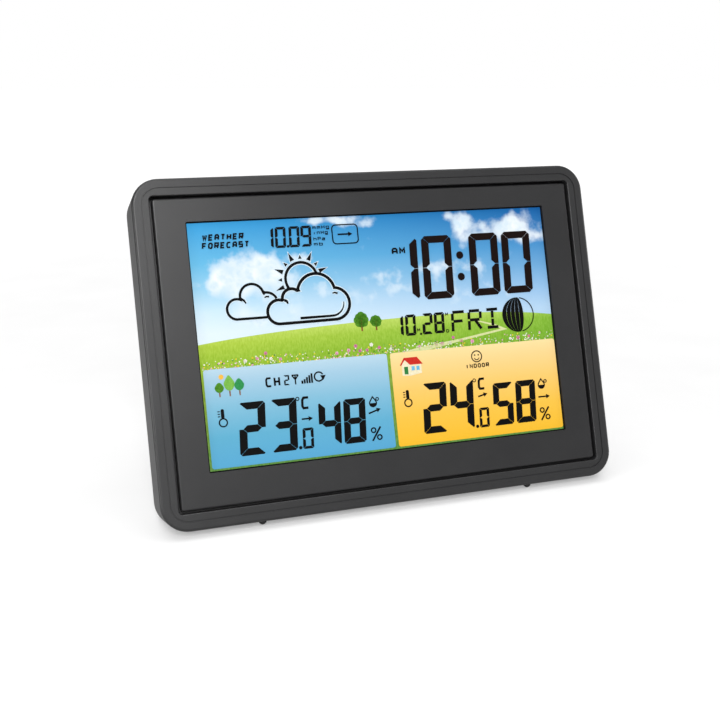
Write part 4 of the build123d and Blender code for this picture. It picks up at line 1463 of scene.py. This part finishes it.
@dataclass(frozen=True)
class TopReadings:
    """The label, the air pressure and its trend along the top, in millimetres."""

    digits: SegmentDigit = SegmentDigit(4.5, 8.6, 1.15, 3.0, 0.09, 0.5)
    base: float = 39.3
    centres: tuple[tuple[str, float], ...] = (("1", -46.4), ("0", -41.25), ("0", -35.45), ("9", -30.45))
    point: Point = (-38.4, 39.8)
    point_radius: float = 0.55
    words: tuple[Lettering, ...] = (
        Lettering("mmHg", -27.4, -20.2, 46.3, 1.5, 0.3, gap=0.35),
        Lettering("inHg", -27.4, -21.0, 44.1, 1.5, 0.3, gap=0.35),
        Lettering("hPa", -27.4, -22.4, 41.5, 1.5, 0.3, gap=0.35),
        Lettering("mb", -27.4, -23.6, 39.4, 1.5, 0.3, gap=0.35),
    )
    box: tuple[float, float, float, float, float] = (-19.1, 39.7, -8.0, 47.6, 1.6)
    box_ends: Point = (42.7, 45.0)              # heights that its line starts and ends at
    box_stroke: float = 0.5
    trend: Arrow = Arrow((-16.8, 43.6), (-10.4, 43.6))
    label: tuple[Lettering, ...] = (
        Lettering("WEATHER", -73.4, -56.6, 43.7, 2.6, 0.66, 8.0, 0.26),
        Lettering("FORECAST", -73.8, -54.6, 40.4, 2.6, 0.66, 8.0, 0.26),
    )

    def build(self, axes: CaseAxes) -> None:
        """Makes the top row's signs.

        Args:
            axes: the case's axes.
        """
        art = Artwork("sign_pressure", Layer.SIGNS, axes)
        for symbol, centre in self.centres:
            self.digits.draw(art, BLACK, symbol, centre, self.base)
        art.fill(disc(self.point, self.point_radius), BLACK)
        for word in self.words:
            word.draw(art, BLACK)
        box = rounded_box(*self.box)
        turn = 3 * len(box) // 4 + 1            # past the first point of the lower left corner
        first, last = [(self.box[0], z) for z in self.box_ends]
        art.stroke([first, *box[turn:], *box[:turn], last], self.box_stroke, BLACK)
        self.trend.draw(art, BLACK)
        for word in self.label:
            word.draw(art, BLACK)
        art.build()


@dataclass(frozen=True)
class ClockReading:
    """The time, the date, the day and the moon's phase, in millimetres."""

    digits: SegmentDigit = SegmentDigit(13.7, 27.1, 3.4, 2.0, 0.08, 1.5)
    date_digits: SegmentDigit = SegmentDigit(4.7, 8.9, 1.3, 2.5, 0.09, 0.5)
    base: float = 13.8
    hours: tuple[tuple[str, float], ...] = (("1", 10.55), ("0", 26.3), ("0", 48.3), ("0", 63.9))
    colon: tuple[Point, ...] = ((37.1, 31.9), (36.8, 22.6))
    colon_radius: float = 1.65
    half_day: Lettering = Lettering("AM", 6.2, 12.3, 33.8, 2.9, 0.75, gap=0.25)
    date_base: float = -0.9
    date: tuple[tuple[str, float], ...] = (("1", 5.7), ("0", 11.3), ("2", 19.0), ("8", 24.4))
    date_point: Point = (15.6, -0.5)
    date_point_radius: float = 0.5
    date_letters: tuple[Lettering, ...] = (
        Lettering("M", 14.0, 15.3, 0.5, 1.4, 0.32),
        Lettering("M", 27.5, 28.8, 6.2, 1.4, 0.32),
        Lettering("D", 27.2, 28.5, -0.9, 1.4, 0.32),
    )
    day_bars: tuple[tuple[Point, Point], ...] = (
        # F
        ((30.9, 7.5), (36.2, 7.5)),
        ((30.8, 6.9), (30.6, 4.0)),
        ((31.0, 3.6), (35.2, 3.6)),
        ((30.6, 3.2), (30.4, -0.6)),
        # R
        ((38.6, 7.5), (43.4, 7.5)),
        ((38.5, 6.9), (38.3, 4.0)),
        ((43.9, 7.0), (43.7, 4.1)),
        ((38.7, 3.6), (43.2, 3.6)),
        ((38.3, 3.2), (38.1, -0.6)),
        ((41.4, 3.1), (43.7, -0.4)),
        # I
        ((46.9, 7.5), (52.0, 7.5)),
        ((49.5, 6.8), (49.4, 3.9)),
        ((49.4, 3.4), (49.3, 0.5)),
        ((46.7, -0.2), (51.8, -0.2)),
    )
    day_stroke: float = 1.25
    moon: Point = (61.8, 4.3)
    moon_radius: float = 7.6
    moon_stripes: int = 5
    moon_reach: float = 0.34        # how far past the middle the dark part comes
    stripe_gap: float = 0.02
    stripe_end: float = 83.0        # degrees up and down the limb at which the stripes end
    stripe_steps: int = 24
    rim_inset: float = 0.2
    rim_end: float = 80.0
    rim_stroke: float = 0.45

    def build(self, axes: CaseAxes) -> None:
        """Makes the clock's signs.

        Args:
            axes: the case's axes.
        """
        art = Artwork("sign_clock", Layer.SIGNS, axes)
        for symbol, centre in self.hours:
            self.digits.draw(art, CLOCK_BLACK, symbol, centre, self.base)
        for centre in self.colon:
            art.fill(disc(centre, self.colon_radius), CLOCK_BLACK)
        self.half_day.draw(art, BLACK)
        art.build()
        self.build_date(axes)

    def build_date(self, axes: CaseAxes) -> None:
        """Makes the date, the day and the moon.

        Args:
            axes: the case's axes.
        """
        art = Artwork("sign_date", Layer.SIGNS, axes)
        for symbol, centre in self.date:
            self.date_digits.draw(art, BLACK, symbol, centre, self.date_base)
        art.fill(disc(self.date_point, self.date_point_radius), BLACK)
        for letter in self.date_letters:
            letter.draw(art, BLACK)
        for bar in self.day_bars:
            art.stroke(list(bar), self.day_stroke, BLACK)
        self.draw_moon(art)
        art.build()

    def draw_moon(self, art: Artwork) -> None:
        """Draws the moon: dark lens-shaped stripes on its left and a thin line round its right.

        Args:
            art: the layer.
        """
        span = 1 + self.moon_reach
        for i in range(self.moon_stripes):
            near = -1 + span * i / self.moon_stripes + (self.stripe_gap if i else 0)
            far = -1 + span * (i + 1) / self.moon_stripes
            art.fill(self.meridian(far) + self.meridian(near)[::-1], BLACK)
        rim = arc(self.moon, self.moon_radius - self.rim_inset, -self.rim_end, self.rim_end)
        art.stroke(rim, self.rim_stroke, BLACK)

    def meridian(self, bulge: float) -> Outline:
        """Works out a line over the moon from bottom to top.

        Args:
            bulge: how far to the right of the middle it bows, as a share of the radius.

        Returns:
            The line's points.
        """
        x, z = self.moon
        turns = [2 * self.stripe_end * k / self.stripe_steps - self.stripe_end
                 for k in range(self.stripe_steps + 1)]
        angles = [math.radians(t) for t in turns]
        return [
            (x + bulge * self.moon_radius * math.cos(a), z + self.moon_radius * math.sin(a)) for a in angles
        ]


@dataclass(frozen=True)
class ClimateReading:
    """One panel's temperature, humidity and their small signs, in millimetres."""

    name: str
    large: tuple[tuple[str, float], ...]
    humid: tuple[tuple[str, float], ...]
    base: float
    tenth: float                    # middle of the small digit
    point: Point
    degree: Point
    unit: Lettering
    drop: Point
    percent: tuple[float, float, float, float]      # left, foot, right, top
    bulb: Point
    arrows: tuple[Arrow, Arrow]
    large_digit: SegmentDigit = SegmentDigit(10.8, 21.2, 3.2, 3.5, 0.08, 0.9)
    humid_digit: SegmentDigit = SegmentDigit(9.5, 18.25, 2.85, 3.5, 0.08, 0.8)
    tenth_digit: SegmentDigit = SegmentDigit(4.6, 8.4, 1.2, 3.0, 0.09, 0.4)
    point_radius: float = 0.72
    degree_radius: float = 0.65
    degree_stroke: float = 0.36
    drop_tip: float = 2.1           # above the drop's middle
    drop_sag: float = 0.55          # how far its round part hangs below that
    drop_radius: float = 1.5
    drop_opens: Point = (40.0, -220.0)          # degrees where the round part meets the tip's sides
    drop_stroke: float = 0.5
    water_radius: float = 1.35
    bead: Point = (2.0, 1.0)        # the small ring, from the drop's middle
    bead_radius: float = 0.6
    bead_stroke: float = 0.4
    slash_inset: float = 0.4
    slash_stroke: float = 0.75
    zero: Point = (1.15, 1.25)      # a small nought's middle, in from its corner
    zero_radius: float = 0.95
    zero_stroke: float = 0.58
    bulb_radius: float = 1.6
    bulb_stroke: float = 0.55
    tube: tuple[float, float, float, float, float] = (-0.68, 1.6, 0.68, 5.4, 0.6)   # from the bulb
    marks: tuple[float, ...] = (2.5, 3.5, 4.5)      # heights over the bulb's middle
    mark_ends: Point = (-1.95, -1.05)
    mark_stroke: float = 0.4

    def build(self, axes: CaseAxes) -> None:
        """Makes the panel's signs.

        Args:
            axes: the case's axes.
        """
        art = Artwork(self.name, Layer.SIGNS, axes)
        for symbol, centre in self.large:
            self.large_digit.draw(art, BLACK, symbol, centre, self.base)
        for symbol, centre in self.humid:
            self.humid_digit.draw(art, BLACK, symbol, centre, self.base)
        self.tenth_digit.draw(art, BLACK, "0", self.tenth, self.base)
        art.fill(disc(self.point, self.point_radius), BLACK)
        art.ring(self.degree, self.degree_radius, self.degree_stroke, BLACK)
        self.unit.draw(art, BLACK)
        for arrow in self.arrows:
            arrow.draw(art, BLACK)
        self.draw_drop(art)
        self.draw_percent(art)
        self.draw_thermometer(art)
        art.build()

    def draw_drop(self, art: Artwork) -> None:
        """Draws the half-filled water drop with a small ring beside it.

        Args:
            art: the layer.
        """
        x, z = self.drop
        middle = (x, z - self.drop_sag)
        rim = [(x, z + self.drop_tip), *arc(middle, self.drop_radius, *self.drop_opens)]
        art.stroke(rim, self.drop_stroke, BLACK, True)
        art.fill(arc(middle, self.water_radius, 0, -180), BLACK)
        art.ring((x + self.bead[0], z + self.bead[1]), self.bead_radius, self.bead_stroke, BLACK)

    def draw_percent(self, art: Artwork) -> None:
        """Draws the percent sign.

        Args:
            art: the layer.
        """
        left, foot, right, top = self.percent
        across, up = self.zero
        art.stroke(
            [(left + self.slash_inset, foot), (right - self.slash_inset, top)], self.slash_stroke, BLACK
        )
        for centre in ((left + across, top - up), (right - across, foot + up)):
            art.ring(centre, self.zero_radius, self.zero_stroke, BLACK)

    def draw_thermometer(self, art: Artwork) -> None:
        """Draws the small thermometer: its bulb, its tube and its scale marks.

        Args:
            art: the layer.
        """
        x, z = self.bulb
        left, bottom, right, top, radius = self.tube
        art.ring(self.bulb, self.bulb_radius, self.bulb_stroke, BLACK)
        art.fill(rounded_box(x + left, z + bottom, x + right, z + top, radius), BLACK)
        for height in self.marks:
            art.stroke([(x + end, z + height) for end in self.mark_ends], self.mark_stroke, BLACK)


OUTDOOR = ClimateReading(
    name="sign_outdoor",
    large=(("2", -60.4), ("3", -47.4)),
    humid=(("4", -28.2), ("8", -17.5)),
    base=-43.0,
    tenth=-37.95,
    point=(-41.5, -42.3),
    degree=(-40.9, -22.5),
    unit=Lettering("C", -39.7, -36.2, -27.0, 5.2, 1.0, 4.0),
    drop=(-8.9, -26.9),
    percent=(-11.0, -43.0, -6.3, -37.4),
    bulb=(-71.9, -28.9),
    arrows=(Arrow((-39.9, -30.9), (-35.2, -30.9)), Arrow((-11.2, -31.6), (-5.8, -30.0))),
)
INDOOR = ClimateReading(
    name="sign_indoor",
    large=(("2", 18.5), ("4", 31.0)),
    humid=(("5", 50.3), ("8", 61.1)),
    base=-42.8,
    tenth=40.75,
    point=(37.1, -42.1),
    degree=(37.7, -22.4),
    unit=Lettering("C", 39.0, 42.5, -26.7, 5.2, 1.0, 4.0),
    drop=(69.4, -26.8),
    percent=(67.4, -42.7, 72.2, -37.1),
    bulb=(6.7, -28.9),
    arrows=(Arrow((38.8, -29.5), (43.2, -28.5)), Arrow((67.4, -32.5), (73.0, -32.5))),
)


@dataclass(frozen=True)
class PanelSigns:
    """The channel row and grove over the outdoor panel, the house and smiling face indoors.

    All its measures are in millimetres.
    """

    channel: Lettering = Lettering("CH", -53.4, -47.3, -16.7, 4.0, 0.78, gap=0.3)
    digit: SegmentDigit = SegmentDigit(2.3, 4.1, 0.65, 0.0, 0.05)
    digit_centre: float = -44.55
    foot: float = -16.6
    aerial: tuple[tuple[Point, ...], ...] = (
        ((-40.95, -16.6), (-40.95, -12.8)),
        ((-42.3, -12.8), (-40.95, -14.6), (-39.6, -12.8)),
        ((-42.3, -12.8), (-39.6, -12.8)),
    )
    aerial_stroke: float = 0.55
    bar_tops: tuple[float, ...] = (-15.3, -14.8, -14.1, -13.4, -12.7)
    bar_left: float = -38.5
    bar_pitch: float = 1.03
    bar_width: float = 0.76
    loop: tuple[Point, float, float, float] = ((-31.0, -14.3), 1.85, 25.0, 330.0)
    loop_stroke: float = 0.6
    loop_head: tuple[Point, ...] = ((-30.4, -13.9), (-28.0, -13.9), (-29.2, -15.9))
    crowns: tuple[tuple[Point, float, float, float, DisplayInk], ...] = (
        # middle, half width, half height, how pointed, ink
        ((-72.2, -15.0), 1.85, 2.0, 0.35, LEAF),
        ((-68.1, -13.4), 2.2, 3.1, 0.6, LEAF_LIGHT),
        ((-64.1, -14.3), 2.0, 2.4, 0.45, LEAF_DEEP),
    )
    crown_steps: int = 24
    trunk_foot: float = -18.7
    trunk_width: float = 0.5
    sun: Point = (-71.1, -10.8)
    sun_radius: float = 1.0
    gable: tuple[Point, ...] = ((5.4, -17.4), (9.0, -17.7), (9.0, -12.8), (6.9, -11.0), (5.4, -12.6))
    side_wall: tuple[Point, ...] = ((9.0, -17.7), (14.2, -16.9), (14.2, -12.9), (9.0, -12.9))
    roof: tuple[Point, ...] = (
        (4.65, -13.0), (6.6, -10.0), (12.5, -10.0), (14.9, -13.1), (9.1, -13.1), (6.9, -10.9), (5.1, -13.3),
    )
    door: tuple[Point, ...] = ((6.4, -16.9), (8.1, -17.0), (8.1, -13.8), (6.4, -13.8))
    panes: tuple[float, ...] = (9.7, 11.9)
    pane_shape: tuple[Point, ...] = ((0.0, -15.6), (1.4, -15.5), (1.4, -13.8), (0.0, -13.8))
    face: Point = (40.0, -12.2)
    face_radius: float = 2.35
    face_stroke: float = 0.45
    eye: Point = (0.85, 0.6)        # from the face's middle
    eye_radius: float = 0.34
    smile_drop: float = 0.3
    smile_radius: float = 1.15
    smile_ends: Point = (200.0, 340.0)
    smile_stroke: float = 0.38
    indoors: Lettering = Lettering("INDOOR", 34.4, 45.4, -17.1, 1.85, 0.42, gap=0.3)

    def build(self, axes: CaseAxes) -> None:
        """Makes both panels' small signs.

        Args:
            axes: the case's axes.
        """
        art = Artwork("sign_channel", Layer.SIGNS, axes)
        self.channel.draw(art, BLACK)
        self.digit.draw(art, BLACK, "2", self.digit_centre, self.foot)
        for line in self.aerial:
            art.stroke(list(line), self.aerial_stroke, BLACK)
        for i, top in enumerate(self.bar_tops):
            left = self.bar_left + i * self.bar_pitch
            right = left + self.bar_width
            art.fill([(left, self.foot), (right, self.foot), (right, top), (left, top)], BLACK)
        art.stroke(arc(*self.loop), self.loop_stroke, BLACK)
        art.fill(list(self.loop_head), BLACK)
        art.build()
        self.build_grove(axes)
        self.build_house(axes)
        self.build_face(axes)

    def build_grove(self, axes: CaseAxes) -> None:
        """Makes the three small trees and the sun beside them.

        Args:
            axes: the case's axes.
        """
        art = Artwork("sign_grove", Layer.SIGNS, axes)
        for (x, z), wide, tall, pointed, ink in self.crowns:
            art.stroke([(x, self.trunk_foot), (x, z - tall)], self.trunk_width, TRUNK)
            angles = [math.tau * i / self.crown_steps for i in range(self.crown_steps)]
            narrow = [1 - pointed * max(0.0, math.sin(a)) for a in angles]
            crown = [(x + wide * n * math.cos(a), z + tall * math.sin(a)) for a, n in zip(angles, narrow)]
            art.fill(crown, ink)
        art.fill(disc(self.sun, self.sun_radius), SUN_YELLOW)
        art.build()

    def build_house(self, axes: CaseAxes) -> None:
        """Makes the little house: its walls, and a film step in front its roof, door and panes.

        Args:
            axes: the case's axes.
        """
        art = Artwork("sign_house", Layer.SIGNS, axes)
        art.fill(list(self.gable), WALL_CREAM)
        art.fill(list(self.side_wall), WALL_CREAM)
        front = Artwork("sign_house_front", Layer.SIGNS, axes)
        front.front -= SIZES.step
        front.fill(list(self.roof), ROOF_RED)
        front.fill(list(self.door), DOOR_GREEN)
        for left in self.panes:
            front.fill([(left + x, z) for x, z in self.pane_shape], PANE_BLUE)
        art.build()
        front.build()

    def build_face(self, axes: CaseAxes) -> None:
        """Makes the plain smiling face and the word under it.

        Args:
            axes: the case's axes.
        """
        art = Artwork("sign_comfort", Layer.SIGNS, axes)
        x, z = self.face
        across, up = self.eye
        art.ring(self.face, self.face_radius, self.face_stroke, BLACK)
        for side in (-across, across):
            art.fill(disc((x + side, z + up), self.eye_radius), BLACK)
        smile = arc((x, z - self.smile_drop), self.smile_radius, *self.smile_ends)
        art.stroke(smile, self.smile_stroke, BLACK)
        self.indoors.draw(art, BLACK)
        art.build()


class Display:
    """The lit display: the printed picture and every sign in front of it."""

    def __init__(self, axes: CaseAxes) -> None:
        """Keeps the case's axes for the layers."""
        self.axes = axes

    def build(self) -> None:
        """Builds every part of the picture, each at its own depth."""
        parts = (SkySheet(), Meadow(), ReadingPanels(), WindowMaskAndShade(), ForecastSign(), TopReadings(),
                 ClockReading(), OUTDOOR, INDOOR, PanelSigns())
        for part in parts:
            part.build(self.axes)
            log.info("display: %s done", type(part).__name__)


class CaseWork:
    """The pieces that keep their CAD shape: each gets its finish."""

    def dress(self) -> None:
        """Gives every CAD node the finish of its slot."""
        made = {slot: finish.build() for slot, finish in FINISHES.items()}
        for part in frame["record"]["subparts"]:
            if part["material_slot"] not in made:
                continue
            mesh = frame["nodes"][part["node"]].data
            mesh.materials.clear()
            mesh.materials.append(made[part["material_slot"]])
            log.info("%s: %s", part["node"], part["material_slot"])


# ---------------------------------------------------------------- studio


@dataclass(frozen=True)
class LightTable:
    """White acrylic table top with a glow that only the camera sees, so that shadows on it stay pale; the glow is
    weaker near the object, which paints shade round it.
    """

    name: str = "acrylic_white_painted_shade"
    colour: str = "#bcbcbc"
    worn: str = "#b8b8b8"
    glow: Point = (0.34, 0.6)       # under the object, and far from it; the weaker glow near the object is painted shade
    reach: Point = (0.25, 1.2)      # where the glow starts and stops growing, in metres
    mottle_mm: float = 60.0
    roughness: float = 0.7
    ior: float = 1.49

    def build(self) -> bpy.types.Material:
        """Pale, barely uneven surface whose own glow is for the eye and doesn't light the object, and is weaker
        near the object: painted shade round it.

        Returns:
            The finished material.
        """
        white = linear("#ffffff")
        surface = Surface(self.name, Roughness=self.roughness, IOR=self.ior, Emission_Color=white)
        tint = surface.spread(surface.noise(self.mottle_mm), 0.0, 1.0)
        surface.feed("Base Color", mixed(surface.tree, tint, self.colour, self.worn))
        seen = add(surface.tree, "LightPath").outputs["Is Camera Ray"]
        away = add(surface.tree, "VectorMath", {"operation": "LENGTH"}, {0: surface.coords}).outputs["Value"]
        # painted shade: the camera-only glow is weaker near the object and grows away from it
        near, far = self.reach
        low, high = self.glow
        limits = {"From Min": near, "From Max": far, "To Min": low, "To Max": high}
        glow = add(surface.tree, "MapRange", limits, {"Value": away}).outputs["Result"]
        shown = add(surface.tree, "Math", {"operation": "MULTIPLY"}, {0: glow, 1: seen}).outputs[0]
        surface.feed("Emission Strength", shown)
        return surface.material


@dataclass(frozen=True)
class SoftBox:
    """A square soft light that faces the station, in metres."""

    name: str
    place: tuple[float, float, float]
    side: float
    watts: float

    def build(self, target: Vector) -> None:
        """Makes the light and turns it to the target.

        Args:
            target: the point that it faces.
        """
        data = bpy.data.lights.new(self.name, "AREA")
        data.size = self.side
        data.energy = self.watts
        light = bpy.data.objects.new(self.name, data)
        bpy.context.scene.collection.objects.link(light)
        light.location = self.place
        light.rotation_euler = (target - light.location).to_track_quat("-Z", "Y").to_euler()


@dataclass(frozen=True)
class Studio:
    """Pale floor, soft light and the camera, in metres; its lens and sensor are in millimetres."""

    floor_radius: float = 9.0
    floor_rings: int = 12
    floor_sides: int = 72
    lens: float = 50.0
    sensor: float = 36.0
    camera_offset: tuple[float, float, float] = (-0.1387, -0.3822, 0.1079)     # from the face's middle
    view: tuple[float, float, float] = (0.3023, 0.9112, -0.2798)
    clip_start: float = 0.01
    air: float = 0.3                # brightness of the room as the object sees it
    sun_strength: float = 1.85
    sun_angle: float = 60.0         # degrees across, so that its shadows are soft
    sun_way: tuple[float, float, float] = (0.05, 0.02, -1.0)
    boxes: tuple[SoftBox, ...] = (
        SoftBox("key_softbox", (-0.38, -1.15, 0.88), 0.6, 19.0),
        SoftBox("edge_softbox", (-1.1, -0.33, 0.22), 0.2, 4.5),
        SoftBox("rim_softbox", (1.1, -0.38, 0.3), 0.25, 3.0),
    )

    def build(self, axes: CaseAxes) -> None:
        """Makes the studio round the object.

        Args:
            axes: the case's axes.
        """
        self.build_floor()
        self.build_air()
        for box in self.boxes:
            box.build(axes.centre)
        self.build_camera(axes)

    def build_floor(self) -> None:
        """Makes the floor as rings of quads that widen outwards."""
        points = [(0.0, 0.0, 0.0)]
        for ring in range(1, self.floor_rings + 1):
            radius = self.floor_radius * (ring / self.floor_rings) ** 2
            points += [(x, y, 0.0) for x, y in disc_points(radius, self.floor_sides)]
        sides = self.floor_sides
        faces = [(0, 1 + i, 1 + (i + 1) % sides) for i in range(sides)]
        for ring in range(self.floor_rings - 1):
            inner, outer = 1 + ring * sides, 1 + (ring + 1) * sides
            faces += [
                (inner + i, outer + i, outer + (i + 1) % sides, inner + (i + 1) % sides)
                for i in range(sides)
            ]
        mesh = bpy.data.meshes.new("studio_floor")
        mesh.from_pydata(points, [], faces)
        mesh.materials.append(LightTable().build())
        floor = bpy.data.objects.new("studio_floor", mesh)
        bpy.context.scene.collection.objects.link(floor)

    def build_air(self) -> None:
        """Lights the room evenly, and keeps its far walls white."""
        scene = bpy.context.scene
        scene.view_settings.view_transform = "Standard"
        world = bpy.data.worlds.new("studio_air")
        scene.world = world
        world.use_nodes = True
        tree = world.node_tree
        seen = add(tree, "LightPath").outputs["Is Camera Ray"]
        limits = {"To Min": self.air, "To Max": 1.0}
        level = add(tree, "MapRange", limits, {"Value": seen}).outputs["Result"]
        tree.links.new(level, tree.nodes["Background"].inputs["Strength"])
        tree.nodes["Background"].inputs["Color"].default_value = linear("#ffffff")
        data = bpy.data.lights.new("high_sun", "SUN")
        data.energy = self.sun_strength
        data.angle = math.radians(self.sun_angle)
        sun = bpy.data.objects.new("high_sun", data)
        scene.collection.objects.link(sun)
        sun.rotation_euler = Vector(self.sun_way).to_track_quat("-Z", "Y").to_euler()

    def build_camera(self, axes: CaseAxes) -> None:
        """Sets the camera by the face's middle.

        Args:
            axes: the case's axes.
        """
        data = bpy.data.cameras.new("front_camera")
        data.lens = self.lens
        data.sensor_width = self.sensor
        data.clip_start = self.clip_start
        camera = bpy.data.objects.new("front_camera", data)
        bpy.context.scene.collection.objects.link(camera)
        camera.location = axes.centre + Vector(self.camera_offset)
        camera.rotation_euler = Vector(self.view).to_track_quat("-Z", "Y").to_euler()
        bpy.context.scene.camera = camera


def disc_points(radius: float, count: int) -> Outline:
    """Points evenly round a circle about the origin."""
    angles = [math.tau * i / count for i in range(count)]
    return [(radius * math.cos(a), radius * math.sin(a)) for a in angles]


def main() -> None:
    """Builds and dresses the weather station, and then its studio."""
    axes = CaseAxes.from_frame()
    CaseWork().dress()
    Display(axes).build()
    Studio().build(axes)


if __name__ == "__main__":
    logging.basicConfig(level=logging.INFO, format="%(name)s: %(message)s")
    main()
